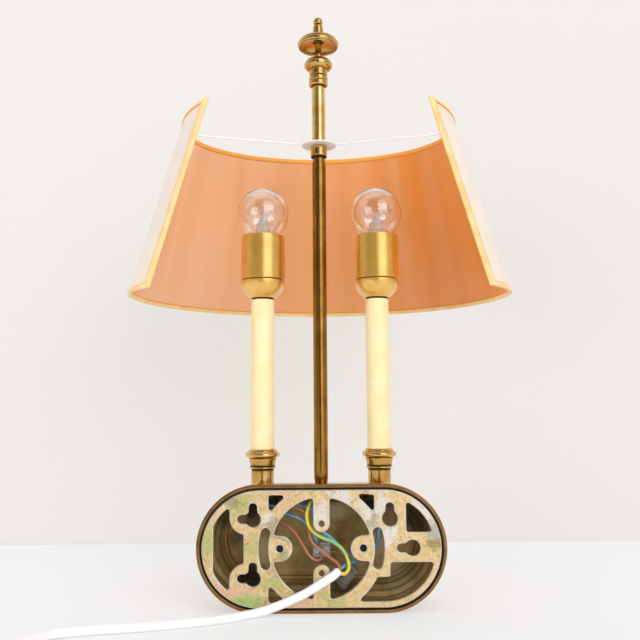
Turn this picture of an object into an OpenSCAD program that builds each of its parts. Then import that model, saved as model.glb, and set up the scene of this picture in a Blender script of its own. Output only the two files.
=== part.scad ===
// Two-candle wall lamp: an oval brass base on a pierced wall plate, a central
// stem that carries a half shade, and two candles with screw-cap bulbs.
// Origin: middle of the wall plate's back face. The wall is the plane y = 0,
// the lamp faces -Y and +Z is up. Millimetres.

/* [Base] */
// Width of the base
base_w = 203; // [196:1:226]
// Height of the base
base_h = 102; // [99:0.5:114]
// Depth of the base, from the wall to its front
base_depth = 56; // [52:1:68]
// Thickness of the base's metal
base_wall = 3; // [2:0.25:4]
// Step of the rim outside the base's wall
rim_lip = 2.2; // [1.4:0.1:3]
// Depth of the rim
rim_depth = 4.5; // [4:0.25:6]
// Radius of the cove round the front
cove_r = 12; // [8:0.5:14]
// Straight step between the cove and the front's rounded edge
front_step = 2; // [1:0.5:4]
// Radius of the front's rounded edge
front_edge_r = 3; // [1.5:0.25:4]
// Height of the flat pads under the base's top
pad_h = 1.2; // [1:0.1:2]
// Distance of the stem and candles from the base's front
stem_front = 29; // [27:0.5:31]

/* [Wall plate] */
// Thickness of the wall plate
plate_t = 3; // [2:0.25:4]
// Gap between the plate and the base's rim
plate_gap = 1.4; // [0.6:0.1:2]
// Width of the web left along the plate's edge
plate_web = 5.6; // [4:0.2:7]
// Radius of the corners of the plate's cut-outs
cut_round = 1.6; // [0.6:0.2:2.4]
// Radius of the round opening
opening_r = 40.3; // [38:0.1:41.5]
// Distance between the ear holes
ear_spacing = 67.5; // [64:0.5:70]
// Radius of an ear
ear_r = 10.4; // [8:0.2:11.5]
// Distance between the tongue holes
tongue_spacing = 39; // [34:0.5:44]
// Width of a tongue
tongue_w = 13.7; // [11:0.1:16]
// Diameter of the tongue holes
tongue_hole_d = 4.6; // [3.5:0.1:5.5]
// Radius of the ring outside the round opening
ring_r = 50.5; // [49:0.1:52]
// Radius of the arc slots' middle line
slot_r = 47; // [46:0.1:48]
// Width of the arc slots
slot_w = 7.4; // [5:0.1:8]
// Half the angle of an arc slot
slot_half_angle = 15.5; // [10:0.5:18]
// Distance of the keyholes above and below the middle
key_row = 23.4; // [21:0.1:25]
// Distance of the upper and lower keyholes from the middle
key_x = 55.5; // [54:0.1:57]
// Distance of the side keyhole from the middle
side_key_x = 73.4; // [72:0.1:76]
// Radius of a keyhole's round part
key_r = 6.2; // [5:0.1:7]
// Width of a keyhole's slot
key_slot_w = 6.6; // [4:0.1:8]
// Reach of a keyhole's slot from the round part's middle
key_reach = 9.2; // [8:0.1:10.5]
// Radius of the plate left round a pair of keyhole slots
boss_r = 13.2; // [12:0.1:14]
// Diameter of the studs in the ears
stud_d = 5; // [4:0.5:6]
// Diameter of a cap nut
cap_nut_d = 15; // [11:0.5:18]
// Height of a cap nut
cap_nut_h = 12; // [9:0.5:16]

/* [Fasteners] */
// Diameter of the threaded rod and of the threaded tubes
thread_d = 10; // [9.5:0.1:10.2]
// Bore of the threaded tubes
tube_bore = 7.6; // [7.5:0.1:8]
// Width across the flats of the nuts
nut_af = 17; // [14:0.5:19]
// Height of the nuts
nut_h = 6; // [4:0.5:8]
// Diameter of the washers
washer_d = 19; // [16:0.5:22]
// Thickness of the washers
washer_t = 1.5; // [1:0.1:2]
// Thickness of the earth lug
lug_t = 1; // [0.6:0.1:1.5]
// Radial clearance of pieces that slip over a thread
slip = 0.25; // [0.15:0.05:0.4]
// Clearance between pieces that move on each other
running_gap = 0.3; // [0.3:0.05:0.5]

/* [Candles] */
// Distance of the candles inside the ends of the base's straight top
candle_inset = 1; // [0.5:0.5:5]
// Height of a candle cup
cup_h = 29.5; // [27:0.5:36]
// Height of the cup's plain foot
cup_foot_h = 13.2; // [10.2:0.2:14.4]
// Radius of the cup's plain foot
cup_foot_r = 9.5; // [8:0.1:10.5]
// Height of the small ring above the foot
cup_ring_h = 1.8; // [1.4:0.1:2.6]
// Radius of the small ring above the foot
cup_ring_r = 11.4; // [10.6:0.1:12.5]
// Radius of the waist between the ring and the bead
cup_waist_r = 10.2; // [9.5:0.1:11]
// Radius of the flare below the bead
cup_flare_r = 11.6; // [11.1:0.1:13]
// Radius of the large bead
cup_bead_r = 14.6; // [13.5:0.1:16]
// Depth of the seat for the sleeve
cup_seat = 4; // [2:0.5:6]
// Diameter of the sleeve
sleeve_d = 20; // [18:0.25:21]
// Wall of the sleeve
sleeve_wall = 1.4; // [1:0.1:2]
// Length of sleeve that shows
sleeve_show = 127.7; // [90:1:160]
// Thickness of the ring on top of the sleeve
ring_t = 1.3; // [1:0.1:2]

/* [Lamp holders] */
// Diameter of the lamp holder
holder_d = 39; // [38:0.25:43]
// Thickness of the lamp holder's metal
holder_wall = 1.2; // [0.8:0.1:1.6]
// Height of the domed cap
dome_h = 15.7; // [13:0.1:20]
// Height of the shell
shell_h = 39; // [36:0.5:44]
// Height of the insert's flange
flange_h = 3; // [2:0.5:4]
// Height of the socket's floor above the seam
well_floor = 6; // [5:0.5:8]
// Depth of the socket
well_depth = 22; // [19:0.5:25]
// Diameter of the socket
well_d = 28.6; // [28.4:0.1:29.4]
// Height of the centre contact
contact_h = 2.2; // [1.5:0.1:3]

/* [Bulbs] */
// Diameter of the bulb's globe
bulb_d = 45; // [42:0.5:48]
// Length of the bulb, from its tip to its top
bulb_len = 73; // [70:0.5:78]
// Diameter over the threads of the bulb's cap
bulb_cap_d = 26.1; // [25.6:0.1:26.4]
// Length of the cap's shell
bulb_cap_len = 23; // [21:0.5:25]
// Height of the insulator and tip below the cap's shell
bulb_tip_h = 4; // [3:0.25:5]
// Wall of the glass
glass_t = 0.8; // [0.6:0.1:1.2]
// Radius of the ring that the filament lies on
filament_r = 9; // [7:0.5:11]

/* [Stem] */
// Diameter of the stem tubes
stem_d = 12; // [11.9:0.1:13.5]
// Length of the lower stem tube
stem_len = 284; // [260:1:310]
// Diameter of the collar under the shade
collar_d = 14.5; // [13.5:0.25:18]
// Height of the collar
collar_h = 10.2; // [8:0.5:14]
// Length of the upper stem tube
upper_len = 53.9; // [40:1:70]
// Length of rod inside the upper stem tube
upper_thread = 13; // [10:0.5:18]

/* [Shade] */
// Height of the carrier's disc above the shade's lower edge
shade_drop = 129.2; // [118:0.1:143]
// Height of the shade from edge to edge
shade_h = 165.4; // [150:1:185]
// Distance from the stem back to the shade's cut edges
shade_back = 25; // [18:0.5:26.5]
// Half width at the lower edge
low_half = 173.5; // [160:1:190]
// Distance of the widest line in front of the stem at the lower edge
low_mid = 39; // [30:1:45]
// Reach in front of the widest line at the lower edge
low_front = 157.5; // [145:1:170]
// Reach behind the widest line at the lower edge, before the cut
low_rear = 113.3; // [100:1:130]
// Half width at the upper edge
up_half = 127.5; // [118:1:140]
// Distance of the widest line in front of the stem at the upper edge
up_mid = 57; // [45:1:60]
// Reach in front of the widest line at the upper edge
up_front = 93.6; // [85:1:110]
// Reach behind the widest line at the upper edge, before the cut
up_rear = 122.8; // [115:1:140]
// Thickness of the cover
cover_t = 0.8; // [0.5:0.1:1.2]
// Thickness of the lining
lining_t = 0.6; // [0.4:0.1:1]
// Width of the tape along the upper and lower edges
tape_w = 4.8; // [3.5:0.1:6]
// Width of the tape along the cut edges
side_tape_w = 8.6; // [5:0.1:10]
// Thickness of the taped edge
tape_t = 3.4; // [2.8:0.1:4]
// Diameter of the frame's wire
wire_d = 2.4; // [1.8:0.1:2.6]
// Diameter of the carrier's arms
arm_d = 1.6; // [1.4:0.1:2.6]
// Rise of the side arms from the disc to the tape
arm_rise = 2.8; // [0:0.2:8]
// Diameter of the carrier's disc
disc_d = 30; // [26:0.5:36]
// Thickness of the carrier's disc
disc_t = 1.2; // [0.8:0.1:2]

/* [Finial] */
// Radius of the ferrule
ferrule_r = 8.5; // [7:0.1:9.5]
// Height of the ferrule
ferrule_h = 15; // [12:0.5:18]
// Radius of the small cup
bell_r = 12.6; // [11:0.1:15]
// Height of the small cup
bell_h = 10.5; // [8:0.5:13]
// Radius of the saucer
saucer_r = 18.5; // [16:0.5:22]
// Height of the saucer's lower edge above the small cup
saucer_foot = 10.2; // [9:0.1:12]
// Thickness of the saucer's rounded edge
saucer_edge = 5.2; // [4:0.1:6.5]
// Height of the hollow under the saucer
saucer_hollow = 5.4; // [3:0.1:7]
// Height of the saucer with its spindle and dome
saucer_h = 21; // [20:0.5:26]
// Radius of the spindle under the saucer
spindle_r = 2.9; // [2.7:0.1:3.6]
// Radius of the knob's ball
knob_r = 4.2; // [3.5:0.1:5.5]
// Height of the knob
knob_h = 18; // [14:0.5:20]
// Diameter of the stud inside the finial
finial_stud_d = 4; // [3:0.25:5]

/* [Cord] */
// Diameter of the mains cable
cable_d = 7; // [6:0.1:7.2]
// Diameter of the brown and blue wires
lead_d = 2.4; // [1.8:0.1:2.4]
// Diameter of the earth wire
earth_d = 3; // [2.4:0.1:3.2]
// Step from one turn of the coil to the next
coil_pitch = 7.8; // [7.8:0.1:8.4]
// Step from one layer of the coil to the next
coil_layer = 7.6; // [7.6:0.1:8.4]
// Turns in each layer of the coil
coil_turns = 2.75; // [1.75:1:3.75]
// Radius of the coil at the middle of its turns
coil_r = 38; // [35:0.5:42]
// Diameter of the plug
plug_d = 38; // [36:0.5:40]
// Length of the plug's body
plug_len = 34; // [30:1:40]
// Distance between the plug's pins
pin_spacing = 19; // [18:0.5:20]

/* [Hidden] */
$fn = 72;
round_steps = 10;
flat_fn = 48;
wall_frame = [90, 0, 0];

// Heights of the base and of what stands on it
base_r = base_h / 2;
base_half = (base_w - base_h) / 2;
side_depth = base_depth - cove_r - front_step - front_edge_r;
base_top = base_r - rim_lip;
inner_top = base_top - base_wall;
stem_back = base_depth - stem_front;
seat_z = inner_top - pad_h;
pad_r = washer_d / 2 + 0.5;
thread_r = thread_d / 2;
lug_reach = stem_back - 11;
candle_x = base_half - candle_inset;
cup_top = base_top + cup_h;
sleeve_z0 = cup_top - cup_seat;
sleeve_z1 = cup_top + sleeve_show;
dome_z0 = sleeve_z1 + ring_t;
dome_z1 = dome_z0 + dome_h;
tube_top = dome_z0 + 6;
tube_end = seat_z - washer_t - nut_h - 3;
insert_z0 = tube_top + 1.5;
well_z = dome_z1 + well_floor;
bulb_tip_z = well_z + contact_h + running_gap;
bulb_cap_z = bulb_tip_z + bulb_tip_h;
bulb_cap_top = bulb_cap_z + bulb_cap_len;
globe_z = bulb_tip_z + bulb_len - bulb_d / 2;
neck_r = bulb_cap_d / 2 - 0.9;
foot_r = sleeve_d / 2 - 0.1;

// Heights along the stem
collar_z0 = base_top + stem_len;
collar_z1 = collar_z0 + collar_h;
disc_z = collar_z1 + running_gap;
shade_z0 = disc_z - shade_drop;
upper_z0 = disc_z + disc_t + running_gap;
upper_z1 = upper_z0 + upper_len;
rod_top = upper_z0 + upper_thread;
ferrule_z1 = upper_z1 + ferrule_h;
bell_z1 = ferrule_z1 + bell_h;
saucer_z1 = bell_z1 + saucer_h;
knob_z1 = saucer_z1 + knob_h;

// The plate's outline
plate_r = base_r - base_wall - plate_gap;
cut_r = plate_r - plate_web;

// The mains cable: from its end inside the base, over the rim and along the table
table_z = -base_r;
cable_r = cable_d / 2;
lie_z = table_z + cable_r;
coil_x = 166;
coil_y = 186;
tie_gap = 0.3;
tie_t = 0.9;
coil_z = lie_z + tie_gap + tie_t;
coil_out = coil_r + coil_pitch * coil_turns / 2;
coil_in = coil_r - coil_pitch * coil_turns / 2;
plug_z = table_z + plug_d / 2;
cable_route = [
    [-13, 2.2, -17.8], [-9.4, 5.2, -20.2], [-4.4, 6.8, -23.1], [0, 7, -25.8], [14, 7, -34], [30, 7.2, -41],
    [44, 9.4, -45.6], [56, 14, -47.5], [70, 24, -47.5], [90, 34, -47.5],
    [110, 41.5, -47.5], [129, 47.5, -47.5], [152, 53, -47.5], [174, 58, -47.5],
    [192, 66, -47.5], [205, 80, -47.5], [212, 97, -47.5], [214.5, 118, -47.5], [215, 145, -47.3]
];

// The wires inside the base
brown_feed = [
    [-11, 4.4, -18.1], [-12.9, 3.5, -16.9], [-14.3, 1.6, -15], [-13, -2.5, -12.4], [-6.2, -8.5, -8.3],
    [-0.5, -11, -3.8], [5, -12, 0.2], [8.8, -12.5, 5], [10, -13, 11.5], [11.5, -14, 21], [15, -15, 28],
    [22, -16, 30.8], [34, -19, 30.5], [44, -23.5, 28], [49, -24.8, 29.5]
];
brown_loop = [
    [0, -20, -8.5], [0.8, -18.5, -11.6], [5, -16, -12], [9.4, -15.5, -9], [13, -15.5, -4],
    [18, -15.5, 4], [24, -15.5, 12.3], [32, -19, 17], [40, -25, 21], [47, -28.3, 26]
];
brown_right = [
    [-6, -24, -6], [-9.5, -24, -6.5], [-14, -24, -7.6], [-26, -25, -9], [-38, -27, -7.5], [-46, -28, 2],
    [-49, -28, 16]
];
blue_loop = [
    [-49, -24, 15], [-46, -22, 0], [-40, -20, -8.5], [-30, -17.5, -10.5], [-22.5, -16, -7.5], [-14, -16, 0],
    [-7.3, -16, 6.4], [-1.5, -16.4, 10.4], [3.4, -17.4, 15], [6, -19, 22.5], [8.8, -20.4, 28.5],
    [14, -21, 31.6], [22, -22, 32], [34, -24, 30.8], [42, -25, 31]
];
blue_left = [
    [3, -20, -1], [4.4, -19, 3.5], [6.8, -18.5, 8.1], [10, -18.5, 14], [14, -18.8, 18.6], [19, -19, 21.8],
    [26, -20.5, 24], [34, -25, 27], [41, -28.3, 30.5]
];
blue_feed = [
    [-10.3, 1.7, -18.6], [-12.2, 0.9, -17.4], [-14.6, -1.8, -16.6], [-17.5, -5.8, -15.6], [-20.5, -10, -14.4],
    [-25, -12, -13.2], [-28.4, -15, -13.6], [-27.4, -17.5, -17]
];
earth_route = [
    [7.5, -11, seat_z - 6.8], [10, -9, seat_z - 11.8], [11.6, -8, 28], [11.6, -8, 21.6], [9.1, -8, 15],
    [3.5, -8, 9.8], [-3.3, -8, 6.4], [-10, -8, 3.6], [-15.8, -8, -1], [-19.8, -7.6, -6.6], [-22, -6.2, -13.2],
    [-21.4, -3.8, -17.4], [-18.8, -1.2, -19.9], [-16, 1, -19.6], [-13.9, 2.2, -19.1], [-12, 3, -20.3]
];

// Plain helpers
function unit(v) = v / norm(v);
function last(list) = list[len(list) - 1];
function lerp(a, b, t) = a + (b - a) * t;

// Half-round bulge between two heights on a turned profile
function bead(r0, r1, z0, z1, steps = round_steps) =
    [for (i = [0:steps]) let (a = 180 * i / steps) [lerp(r0, r1, sin(a)), lerp(z0, z1, (1 - cos(a)) / 2)]];

// Quarter bend from one radius and height to another, leaving along the radius
function quarter(r0, r1, z0, z1, steps = round_steps) =
    [for (i = [0:steps]) let (a = 90 * i / steps) [lerp(r0, r1, sin(a)), lerp(z0, z1, 1 - cos(a))]];

// Tangents of a route, and points along a smooth curve through it
function tangents(p) = [for (i = [0:len(p) - 1]) unit(p[min(i + 1, len(p) - 1)] - p[max(i - 1, 0)])];
function curve_point(a, b, ta, tb, t) =
    let (l = norm(b - a), s = t * t, c = s * t)
    (2 * c - 3 * s + 1) * a + (c - 2 * s + t) * l * ta + (3 * s - 2 * c) * b + (c - s) * l * tb;
function smooth_route(p, steps) =
    let (t = tangents(p))
    concat([for (i = [0:len(p) - 2], k = [0:steps - 1])
               curve_point(p[i], p[i + 1], t[i], t[i + 1], k / steps)],
           [last(p)]);
function route_length(p) = len(p) < 2 ? 0 : [for (i = 0, s = 0; i < len(p); s = s + (i + 1 < len(p) ?
    norm(p[i + 1] - p[i]) : 0), i = i + 1) s][len(p) - 1];

// Side vectors that follow a route without twisting
function side_start(t) = unit(cross(t, abs(t[2]) < 0.8 ? [0, 0, 1] : [1, 0, 0]));
function side_vectors(t) = [for (i = 0, n = side_start(t[0]); i < len(t);
    n = i + 1 < len(t) ? unit(n - (n * t[i + 1]) * t[i + 1]) : n, i = i + 1) n];

// Round tube along a list of points, closed by a cap at each end
module tube(p, r, sides) {
    t = tangents(p);
    n = side_vectors(t);
    points = [for (i = [0:len(p) - 1], k = [0:sides - 1]) let (a = 360 * k / sides)
        p[i] + r * (cos(a) * n[i] + sin(a) * cross(t[i], n[i]))];
    walls = [for (i = [0:len(p) - 2], k = [0:sides - 1]) let (
        a = i * sides + k, b = i * sides + (k + 1) % sides, c = b + sides, d = a + sides)
        each [[a, d, c], [a, c, b]]];
    start = [for (k = [1:sides - 2]) [0, k, k + 1]];
    first = (len(p) - 1) * sides;
    finish = [for (k = [1:sides - 2]) [first, first + k + 1, first + k]];
    polyhedron(points, concat(walls, start, finish));
}

// Mirror pairs: the left candle is on the +X side
module at_candle(side) {
    translate([side * candle_x, -stem_back, 0]) children();
}
module at_stem() {
    translate([0, -stem_back, 0]) children();
}
module turned(profile) {
    rotate_extrude() polygon(profile);
}
module ring_shape(r_out, r_in, h) {
    difference() {
        cylinder(h, r_out, r_out);
        translate([0, 0, -1]) cylinder(h + 2, r_in, r_in);
    }
}

// Base: a moulded oval pan, drawn lying on the wall with its depth along z
function pan_outside() = concat(
    [[0, 0], [base_r, 0]],
    [for (i = [0:round_steps]) let (a = 90 * i / round_steps)
        [base_top + rim_lip * cos(a), rim_depth - rim_lip + rim_lip * sin(a)]],
    [for (i = [0:round_steps]) let (a = 90 * i / round_steps)
        [base_top - cove_r * sin(a), side_depth + cove_r - cove_r * cos(a)]],
    [for (i = [0:round_steps]) let (a = 90 * i / round_steps)
        [base_top - cove_r - front_edge_r + front_edge_r * cos(a),
         base_depth - front_edge_r + front_edge_r * sin(a)]],
    [[0, base_depth]]);
// The plate lies in a recess of its own thickness inside the rim
function pan_inside() = let (r = cove_r + base_wall, a0 = asin(base_wall / r)) concat(
    [[0, -1], [base_r - base_wall, -1], [base_r - base_wall, plate_t], [inner_top, plate_t]],
    [for (i = [0:round_steps]) let (a = lerp(a0, 90, i / round_steps))
        [base_top - r * sin(a), side_depth + cove_r - r * cos(a)]],
    [[base_top - r, base_depth - base_wall], [0, base_depth - base_wall]]);
module oval_body(profile) {
    other_side = [for (i = [len(profile) - 2:-1:1]) [-profile[i][0], profile[i][1]]];
    for (s = [-1, 1])
        translate([s * base_half, 0, 0]) rotate([0, 0, -90 * s]) rotate_extrude(angle = 180) polygon(profile);
    rotate([90, 0, 90]) linear_extrude(2 * base_half, center = true) polygon(concat(profile, other_side));
}
module base_shell() {
    color("goldenrod") difference() {
        union() {
            difference() {
                rotate(wall_frame) oval_body(pan_outside());
                rotate(wall_frame) oval_body(pan_inside());
            }
            at_posts() translate([0, 0, seat_z]) cylinder(pad_h + base_wall / 2, pad_r, pad_r);
        }
        rotate(wall_frame) at_ears() translate([0, 0, base_depth - base_wall - 1])
            cylinder(base_wall + 2, stud_d / 2 + slip, stud_d / 2 + slip);
        for (x = [-candle_x, 0, candle_x])
            translate([x, -stem_back, seat_z - 3]) cylinder(base_wall + 8, thread_r + slip, thread_r + slip);
    }
}

// Wall plate, drawn flat: x is the part's x and y is up
module at_ears() {
    for (s = [-1, 1]) translate([s * ear_spacing / 2, 0, 0]) children();
}
module at_tongues() {
    for (s = [-1, 1]) translate([0, s * tongue_spacing / 2, 0]) children();
}
module rounded() {
    offset(cut_round, $fn = 16) offset(-2 * cut_round, $fn = 16) offset(cut_round, $fn = 16) children();
}
module oval_flat(r) {
    square([2 * base_half, 2 * r], center = true);
    for (s = [-1, 1]) translate([s * base_half, 0]) circle(r, $fn = flat_fn);
}
module opening_flat() {
    difference() {
        circle(opening_r, $fn = flat_fn);
        at_ears() circle(ear_r, $fn = flat_fn);
        for (s = [-1, 1]) translate([s * (ear_spacing / 2 + ear_r), 0]) square(2 * ear_r, center = true);
        at_tongues() circle(tongue_w / 2, $fn = flat_fn);
        for (s = [-1, 1]) translate([-tongue_w / 2, s > 0 ? tongue_spacing / 2 : -opening_r - 1])
            square([tongue_w, opening_r + 1 - tongue_spacing / 2]);
    }
}
module key_slot(turn) {
    rotate(turn) translate([0, -key_slot_w / 2]) square([key_reach, key_slot_w]);
    rotate(turn) translate([key_reach, 0]) circle(key_slot_w / 2, $fn = flat_fn);
}
module keyhole_flat(turns) {
    circle(key_r, $fn = flat_fn);
    for (turn = turns) key_slot(turn);
}
function arc_points(centre, r, from, to, steps) =
    [for (i = [0:steps]) let (a = lerp(from, to, i / steps)) centre + r * [cos(a), sin(a)]];
function inner_points(list) = [for (i = [1:len(list) - 2]) list[i]];
module arc_slot_flat() {
    half = slot_w / 2;
    h = slot_half_angle;
    steps = 12;
    polygon(concat(
        arc_points([0, 0], slot_r + half, -h, h, steps),
        inner_points(arc_points(slot_r * [cos(h), sin(h)], half, h, h + 180, steps)),
        arc_points([0, 0], slot_r - half, h, -h, steps),
        inner_points(arc_points(slot_r * [cos(h), -sin(h)], half, 180 - h, 360 - h, steps))));
}
// Corner between the ring and the plate's straight edge
module corner_flat() {
    right = key_x - key_r - 6.6;
    difference() {
        translate([0, key_row]) square([right, cut_r + 1.2 - key_row]);
        circle(ring_r, $fn = flat_fn);
    }
}
// End of the plate behind the two double keyholes
module end_cut_flat() {
    boss_x = key_x + key_reach - 3.4;
    left = key_x + key_r + 1.4;
    difference() {
        intersection() {
            translate([base_half, 0]) circle(cut_r, $fn = flat_fn);
            translate([left, -cut_r]) square([base_half + cut_r - 4.2 - left, 2 * cut_r]);
        }
        for (s = [-1, 1]) translate([boss_x, s * (key_row + 1)]) {
            circle(boss_r, $fn = flat_fn);
            translate([-2 * boss_r, s > 0 ? 0 : -2 * boss_r]) square([3 * boss_r, 2 * boss_r]);
        }
    }
}
// Upper corner of the other end
module quarter_cut_flat() {
    intersection() {
        translate([-base_half, 0]) circle(cut_r, $fn = flat_fn);
        translate([-base_half - cut_r, 12.6]) square([base_half + cut_r - side_key_x + 4.6, cut_r]);
    }
}
// Lower corner of the other end, stepped below the side keyhole
module step_cut_flat() {
    difference() {
        intersection() {
            oval_flat(cut_r + 0.6);
            union() {
                translate([-base_half - cut_r - 1, -cut_r - 1])
                    square([cut_r + base_half + 1 - key_x, cut_r - 10.4]);
                translate([-key_x - 1, -cut_r - 1]) square([key_x - 29, cut_r - 21.7]);
            }
        }
        circle(ring_r, $fn = flat_fn);
    }
}
module wall_plate() {
    color("darkkhaki") rotate(wall_frame) difference() {
        linear_extrude(plate_t) difference() {
            oval_flat(plate_r);
            rounded() opening_flat();
            for (turn = [0, 180]) rotate(turn) arc_slot_flat();
            for (s = [-1, 1]) translate([key_x, s * key_row]) rounded() keyhole_flat([0, 90]);
            translate([-key_x, key_row]) rounded() keyhole_flat([90]);
            translate([-side_key_x, 0]) rounded() keyhole_flat([0]);
            rounded() corner_flat();
            rounded() mirror([0, 1]) corner_flat();
            rounded() mirror([1, 0]) corner_flat();
            rounded() end_cut_flat();
            rounded() quarter_cut_flat();
            rounded() step_cut_flat();
        }
        at_ears() translate([0, 0, -1]) cylinder(plate_t + 2, stud_d / 2 + slip, stud_d / 2 + slip);
        at_tongues() translate([0, 0, -1]) cylinder(plate_t + 2, tongue_hole_d / 2, tongue_hole_d / 2);
    }
}
module plate_studs() {
    color("dimgray") rotate(wall_frame) at_ears() translate([0, 0, 0.4])
        cylinder(base_depth + cap_nut_h / 2 - 0.4, stud_d / 2, stud_d / 2);
}
module cap_nuts() {
    r = cap_nut_d / 2;
    bore = stud_d / 2 + slip;
    color("goldenrod") rotate(wall_frame) at_ears() translate([0, 0, base_depth])
        turned(concat([[bore, 0], [r, 0], [r, 2]], bead(r - 1, r, 2, 4),
                      [for (i = [0:round_steps]) let (a = 90 * i / round_steps)
                          [(r - 1.4) * cos(a), lerp(4, cap_nut_h, sin(a))]],
                      [[0, cap_nut_h / 2 + 0.5], [bore, cap_nut_h / 2 + 0.5]]));
}

// Fasteners under the base's top
module at_posts() {
    for (x = [-candle_x, 0, candle_x]) translate([x, -stem_back, 0]) children();
}
module base_washers() {
    color("silver") at_posts() translate([0, 0, seat_z - washer_t])
        ring_shape(washer_d / 2, thread_r + slip, washer_t);
}
module earth_lug() {
    tail_w = 7;
    color("silver") at_stem() translate([0, 0, seat_z - washer_t - lug_t]) difference() {
        union() {
            cylinder(lug_t, washer_d / 2 - 1, washer_d / 2 - 1);
            translate([-1, 0, 0]) cube([tail_w, lug_reach, lug_t]);
        }
        translate([0, 0, -1]) cylinder(lug_t + 2, thread_r + slip, thread_r + slip);
    }
}
module base_nuts() {
    color("silver") for (x = [-candle_x, 0, candle_x])
        translate([x, -stem_back, seat_z - washer_t - nut_h - (x == 0 ? lug_t : 0)]) difference() {
            cylinder(nut_h, nut_af / sqrt(3), nut_af / sqrt(3), $fn = 6);
            translate([0, 0, -1]) cylinder(nut_h + 2, thread_r + slip, thread_r + slip);
        }
}

// Candles
module candle_cup(side) {
    ring_z = cup_foot_h;
    waist_z = ring_z + cup_ring_h;
    lip_h = 2;
    bead_h = 5.2;
    bead_z = cup_h - lip_h - bead_h;
    bore = thread_r + slip;
    seat = sleeve_d / 2 + 0.1;
    color("goldenrod") at_candle(side) translate([0, 0, base_top]) turned(concat(
        [[bore, 0], [cup_foot_r, 0], [cup_foot_r, ring_z]],
        bead(cup_foot_r + 0.6, cup_ring_r, ring_z, waist_z),
        [[cup_waist_r, waist_z], [cup_flare_r, bead_z - 0.6], [cup_flare_r - 0.4, bead_z]],
        bead(cup_flare_r, cup_bead_r, bead_z, bead_z + bead_h),
        [[cup_flare_r + 0.8, bead_z + bead_h], [seat + 1.1, cup_h], [seat, cup_h],
         [seat, cup_h - cup_seat], [bore, cup_h - cup_seat]]));
}
module candle_tube(side) {
    color("darkgoldenrod") at_candle(side) translate([0, 0, tube_end])
        ring_shape(thread_r, tube_bore / 2, tube_top - tube_end);
}
module candle_sleeve(side) {
    color("moccasin") at_candle(side) translate([0, 0, sleeve_z0])
        ring_shape(sleeve_d / 2, sleeve_d / 2 - sleeve_wall, sleeve_z1 - sleeve_z0);
}
module sleeve_ring(side) {
    color("black") at_candle(side) translate([0, 0, sleeve_z1])
        ring_shape(foot_r - 0.3, thread_r + slip, ring_t);
}

// Lamp holders
function dome_side(r0, r1, z0, z1) = [for (i = [0:round_steps]) let (a = 90 * i / round_steps)
    [lerp(r0, r1, pow(sin(a), 1.5)), lerp(z0, z1, 1 - cos(a))]];
module holder_cap(side) {
    r = holder_d / 2 - 0.2;
    floor_t = 3.6;
    inside = dome_side(foot_r - 1, r - holder_wall, dome_z0 + floor_t, dome_z1);
    color("goldenrod") at_candle(side) turned(concat(
        [[thread_r + slip, dome_z0]],
        dome_side(foot_r, r, dome_z0, dome_z1),
        [for (i = [len(inside) - 1:-1:0]) inside[i]],
        [[thread_r + slip, dome_z0 + floor_t]]));
}
module holder_shell(side) {
    r = holder_d / 2;
    color("goldenrod") at_candle(side) translate([0, 0, dome_z1])
        turned([[r - holder_wall, 0], [r - 0.15, 0], [r, 0.4], [r - 0.5, shell_h - 0.5], [r - 0.9, shell_h],
                [r - holder_wall - 0.5, shell_h], [r - holder_wall, shell_h - 1.2]]);
}
module holder_insert(side) {
    flange_r = holder_d / 2 - holder_wall - slip;
    body_r = well_d / 2 + 2;
    foot_insert_r = 12;
    floor_holes = [[2.2, 2.2], [2.2, -2.2], [-2.2, 2.2], [-2.2, -2.2]];
    color("white") at_candle(side) difference() {
        union() {
            translate([0, 0, insert_z0]) cylinder(dome_z1 - insert_z0 + 1, foot_insert_r, foot_insert_r);
            translate([0, 0, dome_z1]) cylinder(flange_h, flange_r, flange_r);
            translate([0, 0, dome_z1]) cylinder(well_floor + well_depth, body_r, body_r);
        }
        translate([0, 0, well_z]) cylinder(well_depth + 1, well_d / 2, well_d / 2);
        for (h = floor_holes) translate([h[0] * 3, h[1] * 3, dome_z1 + flange_h - 1])
            cylinder(well_floor, 1.2, 1.2);
    }
}
thread_pitch = 3.63;
module socket_thread(side) {
    r = well_d / 2 - 0.1;
    rows = 24;
    height = well_depth - 2;
    wave = [for (i = [0:rows]) let (z = height * i / rows) [r - 0.45 - 0.2 * cos(360 * z / thread_pitch), z]];
    color("goldenrod") at_candle(side) translate([0, 0, well_z])
        turned(concat([[r, 0]], [[r, height]], [for (i = [rows:-1:0]) wave[i]]));
}
module socket_contact(side) {
    color("goldenrod") at_candle(side) translate([0, 0, well_z]) union() {
        translate([-3, -9, 0]) cube([6, 12, 0.8]);
        cylinder(contact_h, 3, 2.4);
    }
}

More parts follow.
